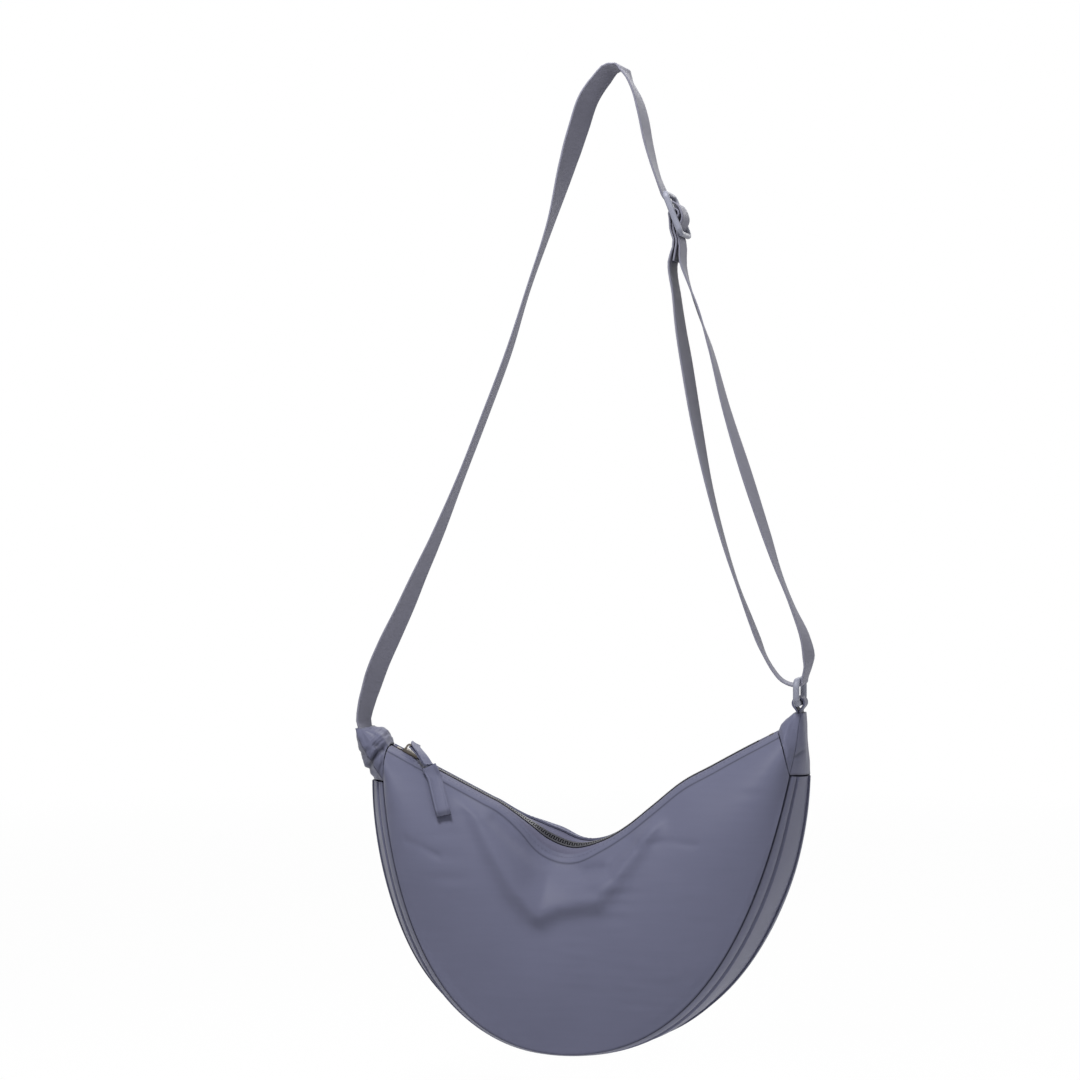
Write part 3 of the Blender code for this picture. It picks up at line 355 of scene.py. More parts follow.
LEFT_STRAND_SHARES = (  # from the ring up to the adjuster's middle bar
    (0.008, 0.021, -7), (0.021, 0.035, -7), (0.041, 0.045, -7), (0.080, 0.056, -7),
    (0.117, 0.061, -3), (0.172, 0.066, -2), (0.319, 0.075, 2), (0.462, 0.074, 6),
    (0.604, 0.064, 12), (0.744, 0.0495, 14), (0.815, 0.042, 12), (0.884, 0.032, 9),
    (0.954, 0.022, 9))


def turned(degrees):
    """Width direction of the webbing, turned from +Y towards +X."""
    angle = radians(degrees)
    return Vector((sin(angle), cos(angle), 0.0))


def stretch(start, end, rows):
    """Points between two others: share of the way, share of bow to the left, turn."""
    way = end - start
    left = Vector((-way.z, 0.0, way.x))
    return [(start + way * share + left * bow, turned(turn)) for share, bow, turn in rows]


def adjuster_axes():
    """The adjuster's middle, with its directions down the strap, across it and out."""
    down = flat(sin(ADJUSTER_ANGLE), -cos(ADJUSTER_ANGLE))
    wide = turned(ADJUSTER_TURN)
    wide = (wide - down * wide.dot(down)).normalized()
    return flat(ADJUSTER_X, -ADJUSTER_DROP), down, wide, down.cross(wide)


def strap_route():
    """Points of the webbing's middle with their width directions."""
    web = WEB_THICKNESS
    ply = web + WEB_GAP
    mouth = flat(-STRAP_REACH, -STRAP_DROP)
    slope = (CREST.at(0.0) + SEAM.at(0.0)) / 2 - mouth
    corner = turned(CORNER_TURN)
    route = [(mouth + slope.normalized() * WEB_INSERT, corner), (mouth, corner)]
    rest = [flat(WEB_REST * share, web / 2) for share in (-1.0, -0.5, 0.5, 1.0)]
    route += stretch(mouth, rest[0], LEFT_BRANCH_SHARES)
    route += [(point, turned(HOOK_TURN)) for point in rest]

    middle, down, wide, out = adjuster_axes()
    pitch = BAR_PITCH
    near = BAR_THICKNESS / 2 + WEB_GAP + web / 2
    round_bar = hypot(BAR_THICKNESS, BAR_WIDTH) / 2 + GAP + web / 2
    far = round_bar + ply

    def local(rows):
        return [(middle + down * along + out * aside, wide) for along, aside in rows]

    run = local([(-pitch * 1.25, -near * 1.05), (-pitch, -near * 1.05),
                 (-pitch * 0.80, -near * 0.80), (-pitch * 0.58, near * 0.45),
                 (-pitch * 0.32, far * 0.86), (0.0, far), (pitch * 0.32, far * 0.86),
                 (pitch * 0.58, near * 0.45), (pitch * 0.80, -near * 0.80),
                 (pitch, -near * 1.05), (pitch * 1.15, -near * 1.10)])
    route += stretch(rest[-1], run[0][0], RIGHT_BRANCH_SHARES) + run

    bar = flat(RING_X, -RING_TOP_DROP)
    wrap = RING_BAR / 2 + WEB_GAP + web / 2
    bend = [(bar + flat(cos(angle), sin(angle)) * wrap, turned(0))
            for angle in map(radians, (10, -25, -60, -95))]
    route += stretch(run[-1][0], bend[0][0], RIGHT_STRAND_SHARES) + bend

    tail = near * 1.05 + ply
    lane = tail + ply
    rise = local([(pitch * 1.10, -lane * 1.03), (pitch * 0.80, -lane * 0.98),
                  (pitch * 0.60, -lane * 0.93), (pitch * 0.36, -lane * 0.77),
                  (pitch * 0.10, -round_bar * 1.12)])
    route += stretch(bend[-1][0], rise[0][0], LEFT_STRAND_SHARES) + rise
    route += local([(cos(angle) * round_bar, sin(angle) * round_bar)
                    for angle in map(radians, range(-120, -331, -30))])
    return route + local([(round_bar * 1.06, -near * 0.10), (pitch * 0.30, -near * 0.66),
                          (pitch * 0.50, -near * 1.25), (pitch * 0.75, -tail * 0.93),
                          (pitch, -tail * 0.97), (pitch * 1.25, -tail * 1.14),
                          (pitch * 1.50, -tail * 1.58), (pitch * 2.0, -tail * 2.53)])


def piece_steps(start, end):
    """Parts that a piece is drawn in. The level rest on the hook stays one flat part."""
    if start.z == end.z:
        return 1
    span = (end - start).length
    if span < WEB_WIDTH / 5:
        return 2
    return max(1, min(3, round(span / (WEB_WIDTH * 0.45))))


def smooth_piece(points, index, steps):
    """The smooth curve from one point to the next, without its last point."""
    start, end = points[index], points[index + 1]
    span = (end - start).length
    before = points[max(index - 1, 0)]
    after = points[min(index + 2, len(points) - 1)]

    def slope(first, middle, last):
        a, b = (middle - first).length, (last - middle).length
        if a == 0:
            return (last - middle) / b
        if b == 0:
            return (middle - first) / a
        return ((middle - first) / a * b + (last - middle) / b * a) / (a + b)

    leave, arrive = slope(before, start, end) * span, slope(start, end, after) * span
    return [curved(start, leave, end, arrive, step / steps) for step in range(steps)]


FRONT_SHARES = (0.0, 0.05, 0.33, 0.68)  # heights on a panel that the patch meets
SIDE_SHARES = (-0.62, -0.3, 0.0, 0.3, 0.62)  # places across the gusset


def end_section(u, depth):
    """Points round the body at one end, at a depth under its surface."""
    def panel(v, side):
        def surface(a, b):
            return panel_point(a, b, side)
        return surface(u, v) + normal_of(surface, u, v) * side * -depth

    def side_wall(w):
        return gusset_point(u, w) + normal_of(gusset_point, u, w) * depth

    front = [panel(v, -1) for v in FRONT_SHARES]
    back = [panel(v, 1) for v in reversed(FRONT_SHARES)]
    walls = [side_wall(w) for w in SIDE_SHARES]
    corners = []
    for side in (-1, 1):
        inward = (panel(1.0, side) - panel_point(u, 1.0, side)
                  + side_wall(side) - gusset_point(u, side))
        corners.append(panel_point(u, 1.0, side) + inward)
    top = CREST.at(u) + flat(0.0, FABRIC + GAP + TAPE_THICKNESS / 2 - depth)
    rim = ACROSS * TOOTH_BACK
    return front + [corners[0]] + walls + [corners[1]] + back + [top + rim, top - rim]


MOUTH_POWER = 0.4  # 1 is an ellipse, and less is squarer
MOUTH_START = 1.2  # the first point lies this many steps round the slot


def mouth_section(middle, half_x, half_y, turn, count):
    """A rounded slot round the strap or the loop, in step with end_section."""
    loop = []
    for index in range(count):
        x, y = squarish(2 * pi * (index + MOUTH_START) / count, MOUTH_POWER)
        x, y = x * half_x, -y * half_y
        loop.append(middle + Vector((x * cos(turn) + y * sin(turn),
                                     y * cos(turn) - x * sin(turn), 0.0)))
    return loop


# How far a corner patch swells: share of the way to its mouth, height
LEFT_SWELL = ((0.2, 0.0024), (0.4, 0.0042), (0.6, 0.0046), (0.8, 0.0034))
RIGHT_SWELL = ((0.25, 0.0012), (0.5, 0.0010), (0.75, 0.0004))

# Fine shape of the shell. Folds are given as places in metres on the front panel.

FINE_ROWS = 150  # steps along the zip and the seam
FINE_DOWN = 76  # steps down a panel
LINING_STEPS = slice(10, -10, 2)  # the lining stops short of the corners
HEM_SHARE = 0.11  # share of a panel's height, below its fold, in finer steps
HEM_STEPS = 30
HEM_DROP = 0.0036  # the hem's seam lies this far below the fold
HEM_GROOVE = 0.0007  # half of a seam line's width
HEM_REACH = 1.6  # the line is looked for in this many times the finer steps
SEAM_BAND = 0.0140  # the gusset's seam line, from its edge
FOLD_RIDGE = ((-0.092, -0.474), (-0.0755, -0.505), (-0.060, -0.530), (-0.047, -0.5435),
              (-0.036, -0.5385), (-0.011, -0.534), (0.006, -0.510), (0.020, -0.490))
FOLD_VALLEY = ((-0.077, -0.486), (-0.060, -0.502), (-0.043, -0.5125), (-0.020, -0.519),
               (-0.004, -0.5165), (0.010, -0.500))
TUCKS = (((0.024, -0.500), (0.038, -0.4985), (0.052, -0.500)),
         ((-0.133, -0.500), (-0.122, -0.5035), (-0.112, -0.509)))
RIDGE_HEIGHT = 0.0080
RIDGE_RISE = 0.0150  # the ridge's half width above its crest
RIDGE_FALL = 0.0085  # and below it
VALLEY_DEPTH = 0.0050
VALLEY_REACH = 0.0050
TUCK_DEPTH = 0.0008
TUCK_REACH = 0.0022
UNDULATION = 0.0017  # slow waves of the slack cloth
WRINKLE = 0.00034  # short level wrinkles
WAVE_PITCH = 0.055
WRINKLE_LENGTH = 0.030
WRINKLE_PITCH = 0.0050
GROOVE_DEPTH = 0.0005  # the seam line at the inner edge of a stitched band
FOLD_FADES = (0.10, 0.07, 0.04)  # shares of a panel in which folds fade: top, foot, ends
PATCHINESS = (0.35, 2.2)  # least strength of the wrinkles, and how much more in patches
STITCH_ENDS = (0.03, 0.97)  # the zip's stitch rows, as shares of its length
BAND_ENDS = (0.015, 0.985)  # and the gusset's
ZIP_STITCH_SHARE = 0.62  # where the zip's stitches lie on a panel's lap
BAND_STITCH_SHARE = 0.86  # and the gusset's on its band
LINING_DOWN = (0.16, 0.92)  # a panel's lining, as shares of the panel's height
LINING_ACROSS = 0.84  # the gusset's lining, as a share of half its width
POCKET_SPAN = (0.38, 0.66)  # the pocket's place along the back panel
POCKET_DOWN = (0.30, 0.74)  # and down it
POCKET_CLOSE = 0.42  # it lies flat from this share of the height below its mouth
GUSSET_FADE = 0.05  # share of the gusset in which its waves fade, at its ends
GUSSET_WAVES = 0.8  # strength of its waves, against the panels'
GUSSET_GROOVE = 1.8  # depth of its seam lines, against the panels'
EDGE_SHARE = 0.008  # share of a panel's height that painted shade darkens beside its seam
# painted shade: how much darker a seam's edge and a hem's seam line are
EDGE_SHADE = 0.60
HEM_SHADE = 0.62
SHARP_ANGLE = radians(50)
STITCH_PITCH = 0.0029
STITCH_LENGTH = 0.0021
STITCH_RADIUS = 0.00013
STITCH_THIN = 0.35  # share of its radius that a stitch has at its ends
STITCH_ARCH = 0.9  # its middle rises by this share of its radius
STITCH_SINK = 0.3  # and all of it lies this much deeper
STITCH_STEPS = 4
STITCH_SIDES = 6
EVEN_STEPS = 600  # steps in which a stitched line is measured
RING_TURN = radians(-8)  # the ring hangs turned about the vertical
TURN_DROPS = (0.330, 0.372, 0.4185, 0.4400)  # the turn grows, holds and fades again
TURN_REACH = 0.048


def make_tree(owner):
    """The node tree of a material or a world."""
    owner.use_nodes = True
    return owner.node_tree


def feed(tree, node, values):
    """Sets a node's inputs. A value that is another node's output is linked."""
    for key, value in values.items():
        if isinstance(value, bpy.types.NodeSocket):
            tree.links.new(value, node.inputs[key])
        else:
            node.inputs[key].default_value = value


def add_node(tree, kind, values=None, **settings):
    """The outputs of a new node with these input values and settings."""
    node = tree.nodes.new("ShaderNode" + kind)
    for key, value in settings.items():
        setattr(node, key, value)
    feed(tree, node, values or {})
    return node.outputs


def compute(tree, operation, *values):
    return add_node(tree, "Math", dict(enumerate(values)), operation=operation)[0]


def mix_colour(tree, factor, first, second):
    return add_node(tree, "Mix", {0: factor, 6: first, 7: second}, data_type="RGBA")[2]


def cloudy(tree, place, scale, detail):
    return add_node(tree, "TexNoise", {"Vector": place, "Scale": scale, "Detail": detail})["Fac"]


def tinted(colour, factor):
    return tuple(channel * factor for channel in colour[:3]) + (1.0,)


def cloth_material(name, colour, roughness, thread, relief, sheen, along_strap=False):
    """Woven cloth: slow tone changes, slubs, painted shade in seams, creases and at ends, and two
    crossing threads.
    """
    material = bpy.data.materials.new(name)
    tree = make_tree(material)
    coords = add_node(tree, "TexCoord")
    cloud = add_node(tree, "TexNoise", {"Vector": coords["Object"], "Scale": 11.0,
                                        "Detail": 4.0, "Roughness": 0.55})["Fac"]
    drawn_out = add_node(tree, "Mapping", {"Vector": coords["Object"],
                                           "Scale": (35.0, 60.0, 420.0)})[0]
    slub = cloudy(tree, drawn_out, 1.0, 3.0)
    seam_shade = add_node(tree, "Attribute", attribute_name="seam_shade")["Fac"]
    tone = mix_colour(tree, cloud, tinted(colour, 0.90), tinted(colour, 1.10))
    tone = mix_colour(tree, compute(tree, "MULTIPLY", slub, 0.16), tone, tinted(colour, 1.45))
    # painted shade: the mesh's shade attribute darkens the colour at seams, creases and ends
    tone = mix_colour(tree, seam_shade, tone, tinted(colour, 0.22))
    wave = {"Vector": coords["UV" if along_strap else "Object"],
            "Scale": pi / 10 / thread, "Distortion": 0.6, "Detail": 1.0}
    threads = [add_node(tree, "TexWave", wave, bands_direction=direction)["Fac"]
               for direction in (("X", "Y") if along_strap else ("DIAGONAL", "Z"))]
    height = compute(tree, "ADD", compute(tree, "ADD", *threads), slub)
    bump = add_node(tree, "Bump", {"Strength": 0.55, "Distance": relief, "Height": height})[0]
    feed(tree, tree.nodes["Principled BSDF"], {
        "Base Color": tone, "Sheen Weight": sheen, "Sheen Roughness": 0.45,
        "Roughness": compute(tree, "MULTIPLY_ADD", cloud, 0.12, roughness - 0.06),
        "Specular IOR Level": 0.09, "Normal": bump})
    return material


def hard_material(name, colour, roughness, metallic, grain):
    """Moulded plastic or plated metal with a fine uneven surface and worn tone."""
    material = bpy.data.materials.new(name)
    tree = make_tree(material)
    place = add_node(tree, "TexCoord")["Object"]
    fine = cloudy(tree, place, grain, 5.0)
    worn = cloudy(tree, place, grain / 9, 3.0)
    bump = add_node(tree, "Bump", {"Strength": 0.25, "Distance": 0.00008, "Height": fine})[0]
    feed(tree, tree.nodes["Principled BSDF"], {
        "Base Color": mix_colour(tree, worn, tinted(colour, 0.82), tinted(colour, 1.18)),
        "Roughness": compute(tree, "MULTIPLY_ADD", worn, 0.22, roughness - 0.11),
        "Metallic": metallic, "Normal": bump})
    return material


def put(name, data):
    """A new object in the scene."""
    item = bpy.data.objects.new(name, data)
    bpy.context.scene.collection.objects.link(item)
    return item


def soft_step(share):
    return share * share * (3 - 2 * share)


def swirled(point):
    """A point near the ring, turned with it about the vertical."""
    low, start, end, high = TURN_DROPS
    drop = -point.z
    x, y = point.x - RING_X, point.y
    if not low < drop < high or abs(x) > TURN_REACH:
        return point
    angle = RING_TURN * soft_step(min(1.0, (drop - low) / (start - low),
                                      (high - drop) / (high - end), 2 - 2 * abs(x) / TURN_REACH))
    return Vector((RING_X + x * cos(angle) - y * sin(angle),
                   x * sin(angle) + y * cos(angle), point.z))


def make_piece(name, points, faces, material, body, nodes=(), tones=None, places=None):
    """One closed mesh that rides on a body. tones is painted shade that darkens points, places
    are its UVs.
    """
    shape = bmesh.new()
    corners = [shape.verts.new(swirled(point)) for point in points]
    for face in faces:
        shape.faces.new([corners[index] for index in face])
    bmesh.ops.recalc_face_normals(shape, faces=shape.faces[:])
    mesh = bpy.data.meshes.new(name)
    shape.to_mesh(mesh)
    shape.free()
    mesh.shade_smooth()
    mesh.set_sharp_from_angle(angle=SHARP_ANGLE)
    # the tones are painted shade, kept in an attribute that the cloth material reads
    seam_shade = mesh.attributes.new("seam_shade", "FLOAT", "POINT")
    seam_shade.data.foreach_set("value", tones or [0.0] * len(points))
    if places:
        layer = mesh.uv_layers.new(name="UVMap")
        for loop in mesh.loops:
            layer.data[loop.index].uv = places[loop.vertex_index]
    mesh.materials.append(material)
    item = put(name, mesh)
    if body:
        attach(item, body)
    if nodes:
        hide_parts(*nodes)
    return item


def cap(faces, start, count):
    faces.append(tuple(range(start, start + count)))


def distance_to(route, x, z):
    """Distance from a route, and which side of it: above is positive."""
    best, sign = 1.0, 1.0
    for (x0, z0), (x1, z1) in zip(route, route[1:]):
        dx, dz = x1 - x0, z1 - z0
        share = max(0.0, min(1.0, ((x - x0) * dx + (z - z0) * dz) / (dx * dx + dz * dz)))
        px, pz = x - x0 - dx * share, z - z0 - dz * share
        gap = hypot(px, pz)
        if gap < best:
            best, sign = gap, 1.0 if pz * dx - px * dz > 0 else -1.0
    return best, sign


def folds(x, z, side):
    """How far the cloth stands out of its plain shape."""
    wave = noise.noise(Vector((x, side * WAVE_PITCH, z)) / WAVE_PITCH)
    fine = noise.noise(Vector((x / WRINKLE_LENGTH, side * 3.0, z / WRINKLE_PITCH)))
    patchy = max(0.0, noise.noise(Vector((x, side * 2.0, z)) / WRINKLE_LENGTH))
    least, more = PATCHINESS
    height = UNDULATION * wave + WRINKLE * fine * (least + more * patchy)
    if side > 0:
        return height
    gap, above = distance_to(FOLD_RIDGE, x, z)
    height += RIDGE_HEIGHT * exp(-(gap / (RIDGE_RISE if above > 0 else RIDGE_FALL))**2)
    height -= VALLEY_DEPTH * exp(-(distance_to(FOLD_VALLEY, x, z)[0] / VALLEY_REACH)**2)
    for tuck in TUCKS:
        height -= TUCK_DEPTH * exp(-(distance_to(tuck, x, z)[0] / TUCK_REACH)**2)
    return height


def soft_panel(u, v, side):
    """A panel's surface with its folds, which fade out at its edges."""
    point = panel_point(u, v, side)
    top, foot, end = FOLD_FADES
    fade = min(1.0, max(0.0, v - LAP_SHARE) / top, (1 - v) / foot, u / end, (1 - u) / end)
    point.y += side * folds(point.x, point.z, side) * soft_step(max(0.0, fade))
    point.y -= side * GROOVE_DEPTH * hem_line(u, v, side)
    return point


def hem_line(u, v, side):
    """1 on the seam below the panel's fold, 0 away from it."""
    if v <= LAP_SHARE or v > LAP_SHARE + HEM_SHARE * HEM_REACH:
        return 0.0
    drop = (panel_point(u, v, side) - panel_point(u, LAP_SHARE, side)).length
    return exp(-((drop - HEM_DROP) / HEM_GROOVE)**2)


def sheet_piece(name, surface, us, vs, outside, inside, material, rise=None, tone=None):
    """A closed sheet between two offsets of a surface. rise lifts its outer side."""
    grid = [[surface(u, v) for v in vs] for u in us]
    rows, columns = len(us), len(vs)
    points, tones = [], []
    for layer in (0, 1):
        for r in range(rows):
            for c in range(columns):
                along = grid[min(r + 1, rows - 1)][c] - grid[max(r - 1, 0)][c]
                across = grid[r][min(c + 1, columns - 1)] - grid[r][max(c - 1, 0)]
                lift = inside if layer else outside + (rise(vs[c]) if rise else 0.0)
                points.append(grid[r][c] + along.cross(across).normalized() * lift)
                tones.append(tone(us[r], vs[c]) if tone else 0.0)
    total = rows * columns
    faces = []
    add_grid(faces, rows, columns, 0)
    add_grid(faces, rows, columns, total)
    border = list(range(columns - 1)) + list(range(columns - 1, total, columns))
    border += list(range(total - 2, total - columns, -1))
    border += list(range(total - columns, 0, -columns))
    for a, b in zip(border, border[1:] + border[:1]):
        faces.append((a, b, b + total, a + total))
    return make_piece(name + "_cloth", points, faces, material, "bag", (name,), tones)


def stitch_row(name, places, normals, material, body):
    """Short threads along a row of places that lie STITCH_PITCH apart."""
    points, faces = [], []
    for start, end, up in zip(places, places[1:], normals):
        along = (end - start).normalized()
        aside = along.cross(up).normalized()
        base = len(points)
        for step in range(STITCH_STEPS + 1):
            share = step / STITCH_STEPS
            arch = sin(pi * share)
            radius = STITCH_RADIUS * lerp(STITCH_THIN, 1.0, arch)
            centre = ((start + end) / 2 + along * STITCH_LENGTH * (share - 0.5)
                      + up * STITCH_RADIUS * (STITCH_ARCH * arch - STITCH_SINK))
            for turn in range(STITCH_SIDES):
                angle = 2 * pi * turn / STITCH_SIDES
                points.append(centre + (aside * cos(angle) + up * sin(angle)) * radius)
        add_grid(faces, STITCH_STEPS + 1, STITCH_SIDES, base, closed=True)
        cap(faces, base, STITCH_SIDES)
        cap(faces, len(points) - STITCH_SIDES, STITCH_SIDES)
    return make_piece(name, points, faces, material, body)


def even_places(surface, v, low, high, inward=1.0):
    """Places a stitch apart along a surface at one v, with its outward normals."""
    curve = Curve([surface(u, v) for u in spread(low, high, EVEN_STEPS)])
    shares = spread(0.0, 1.0, int(curve.length / STITCH_PITCH))
    return ([curve.at(share) for share in shares],
            [normal_of(surface, lerp(low, high, share), v) * inward for share in shares])


def make_shell(fabric, lining, thread):
    """Both panels with their linings and the stitches beside the zip."""
    rows = spread(0.0, 1.0, FINE_ROWS)
    down = (spread(0.0, LAP_SHARE, 4)[:-1]
            + spread(LAP_SHARE, LAP_SHARE + HEM_SHARE, HEM_STEPS)[:-1]
            + spread(LAP_SHARE + HEM_SHARE, 1.0, FINE_DOWN))
    for side, name in SIDES:
        def surface(u, v, side=side):
            return soft_panel(u, v, side)

        # painted shade beside the panel's seam and along its hem line
        def tone(u, v, side=side):
            edge = EDGE_SHADE * max(0.0, 1 - (1 - v) / EDGE_SHARE)
            return max(edge, HEM_SHADE * hem_line(u, v, side))
        sheet_piece(name + "_panel", surface, rows, down, 0.0, -side * FABRIC, fabric,
                    tone=tone)
        skin = -side * (FABRIC + LINING_GAP)
        sheet_piece("lining_" + name, surface, rows[LINING_STEPS], spread(*LINING_DOWN, 26),
                    skin, skin - side * LINING, lining)
        places, normals = even_places(surface, LAP_SHARE * ZIP_STITCH_SHARE, *STITCH_ENDS, side)
        stitch_row(name + "_zip_stitches", places, normals, thread, "bag")


def make_pocket(lining):
    """The slip pocket, whose mouth stands off the back lining."""
    def surface(u, v):
        point = soft_panel(u, v, 1)
        inner = FABRIC + LINING_GAP + LINING + GAP * 2
        point.y -= inner + POCKET_EASE * max(0.0, 1 - (v - POCKET_DOWN[0]) / POCKET_CLOSE)
        return point
    sheet_piece("inner_pocket", surface, spread(*POCKET_SPAN, 40), spread(*POCKET_DOWN, 26),
                0.0, -LINING, lining)


def make_gusset(fabric, lining, thread):
    """The strip between the panels, with a plump stitched band beside each seam."""
    band = SEAM_BAND / HALF_DEPTH
    line = HEM_GROOVE * 2.2 / HALF_DEPTH

    def surface(u, w):
        point = gusset_point(u, w * (1 - (FABRIC + SEAM_GAP) / half_depth(u)))
        calm = (1 - abs(w))**0.5 * min(1.0, u / GUSSET_FADE, (1 - u) / GUSSET_FADE)
        wave = noise.noise(Vector((point.x, point.y * 1.6, point.z)) / WAVE_PITCH)
        return point + seam_outward(u) * UNDULATION * GUSSET_WAVES * wave * max(0.0, calm)

    def seam_line(w):
        return max(0.0, 1 - abs(1 - band - abs(w)) / line)

    def rise(w):
        plump = sin(pi * min(1.0, max(0.0, (abs(w) - 1 + band) / band)))
        return GROOVE_DEPTH * GUSSET_GROOVE * seam_line(w) - BAND_RISE * plump

    # painted shade along the band's seam lines and at the gusset's edges
    def tone(_, w):
        return max(seam_line(w), EDGE_SHADE * max(0.0, 1 - (1 - abs(w)) / line))
    # places across half of the gusset: up to the band, round its seam line and over it
    half = [0.0, 0.14, 0.28, 0.42, 0.55, 0.65]
    half += spread(1 - band - line * 1.2, 1 - band + line * 1.2, 8)
    half += spread(1 - band * 0.82, 1.0, 8)
    rows = spread(0.0, 1.0, FINE_ROWS)
    sheet_piece("gusset", surface, rows, [-w for w in reversed(half[1:])] + half, 0.0, FABRIC,
                fabric, rise=rise, tone=tone)
    skin = FABRIC + LINING_GAP
    sheet_piece("lining_gusset", surface, rows[LINING_STEPS],
                spread(-LINING_ACROSS, LINING_ACROSS, 14), skin, skin + LINING, lining)
    for side, name in SIDES:
        row = side * (1 - band * BAND_STITCH_SHARE)
        places, normals = even_places(surface, row, *BAND_ENDS, -1.0)
        places = [place + normal * BAND_RISE * 0.45 for place, normal in zip(places, normals)]
        stitch_row(name + "_seam_stitches", places, normals, thread, "bag")


def make_zip(tape, teeth, metal):
    """The tapes, and new materials for the teeth, the stops and the slider."""
    inner = TOOTH_BACK + TAPE_GAP
    flat_share = (TAPE_FLAT - inner) / (TAPE_REACH - FABRIC - SEAM_GAP - inner)
    columns = spread(0.0, flat_share, 3) + spread(flat_share, 1.0, 6)[1:]
    for side, name in SIDES:
        def surface(u, v, side=side):
            return tape_point(u, v, side)
        sheet_piece("zip_tape_" + name, surface, spread(0.0, 1.0, FINE_ROWS), columns,
                    TAPE_THICKNESS / 2, -TAPE_THICKNESS / 2, tape)
        set_material("zip_teeth_" + name, teeth)
    for name in ("zip_stop_left", "zip_stop_right", "zip_slider"):
        set_material(name, metal)


def set_material(name, material):
    """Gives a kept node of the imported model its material."""
    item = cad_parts[name]
    item.data.materials.clear()
    item.data.materials.append(material)


# Straps and ribbons. A section's points are shares of half its width and thickness.

def mirrored(quarter):
    """A closed section from its upper left quarter, which starts on its left edge."""
    top = quarter + [(-x, y) for x, y in reversed(quarter) if x]
    return top + [(x, -y) for x, y in reversed(top[1:-1])]


SECTION_SHARES = mirrored([(-1.0, 0.0), (-0.992, 0.55), (-0.972, 0.92), (-0.92, 1.0),
                           (-0.6, 0.97), (-0.2, 0.95)])
HEMMED_SHARES = mirrored([  # a folded tab: both edges are thicker than its middle
    (-1.0, 0.0), (-0.97, 0.72), (-0.88, 1.0), (-0.70, 1.0), (-0.60, 0.60), (-0.45, 0.46),
    (0.0, 0.42)])
END_SHADE = 0.55  # painted shade: how much darker the tab's last stretch is, like a folded end in shadow
STRAP_STEPS = 3  # fine steps for each step of the plain strap
MIDDLE_DROP = 0.250  # the doubled strands are divided at these heights
RING_DROP = 0.355
WRAP_DROP = 0.377
TAIL_RISE = 0.0185  # the strap's tail starts this far below the adjuster's bar
HOOK_POINTS = 4  # points of the route that lie on the hook
RUN_POINTS = 11  # and in the adjuster, on the way down
TACK_ROWS = (9, 4)  # the rows of thread lie this many fine steps before the end
TACK_SHARE = 0.8  # of the webbing's width


def frames_along(path, sides, square=False):
    """Each point of a path with its width direction and its thickness direction."""
    frames = []
    for index, point in enumerate(path):
        before, after = path[max(index - 1, 0)], path[min(index + 1, len(path) - 1)]
        along = (after - before).normalized()
        side = sides[index]
        if square:
            side = side - along * side.dot(along)
        side = side.normalized()
        frames.append((point, side, along.cross(side).normalized()))
    return frames


def ribbon_piece(name, frames, width, thickness, material, body=None, nodes=(),
                 section=SECTION_SHARES, dark_end=0.0):
    """A flat band along frames. dark_end is the length of its last stretch, which gets painted
    shade.
    """
    points, places, faces = [], [], []
    run = 0.0
    for index, (point, side, lift) in enumerate(frames):
        if index:
            run += (point - frames[index - 1][0]).length
        for s, t in section:
            points.append(point + side * s * width / 2 + lift * t * thickness / 2)
            places.append((run, s * width / 2))
    columns = len(section)
    add_grid(faces, len(frames), columns, 0, closed=True)
    cap(faces, 0, columns)
    cap(faces, len(points) - columns, columns)
    tones = None
    # painted shade on the last stretch, like a folded end in shadow
    if dark_end:
        tones = [END_SHADE * max(0.0, min(1.0, (place[0] - run + dark_end) / dark_end * 2))
                 for place in places]
    return make_piece(name, points, faces, material, body, nodes, tones, places)


def fine_strap():
    """Frames along the whole webbing, and the index where each route point lies."""
    route = strap_route()
    points = [point for point, _ in route]
    path, sides, marks = [], [], []
    for index in range(len(route) - 1):
        marks.append(len(path))
        steps = piece_steps(points[index], points[index + 1]) * STRAP_STEPS
        path += smooth_piece(points, index, steps)
        around = [route[max(0, min(len(route) - 1, index + near))][1] for near in (-1, 0, 1, 2)]
        sides += [eased(*around, step / steps, 0.5) for step in range(steps)]
    marks.append(len(path))
    return frames_along(path + points[-1:], sides + [route[-1][1]]), marks


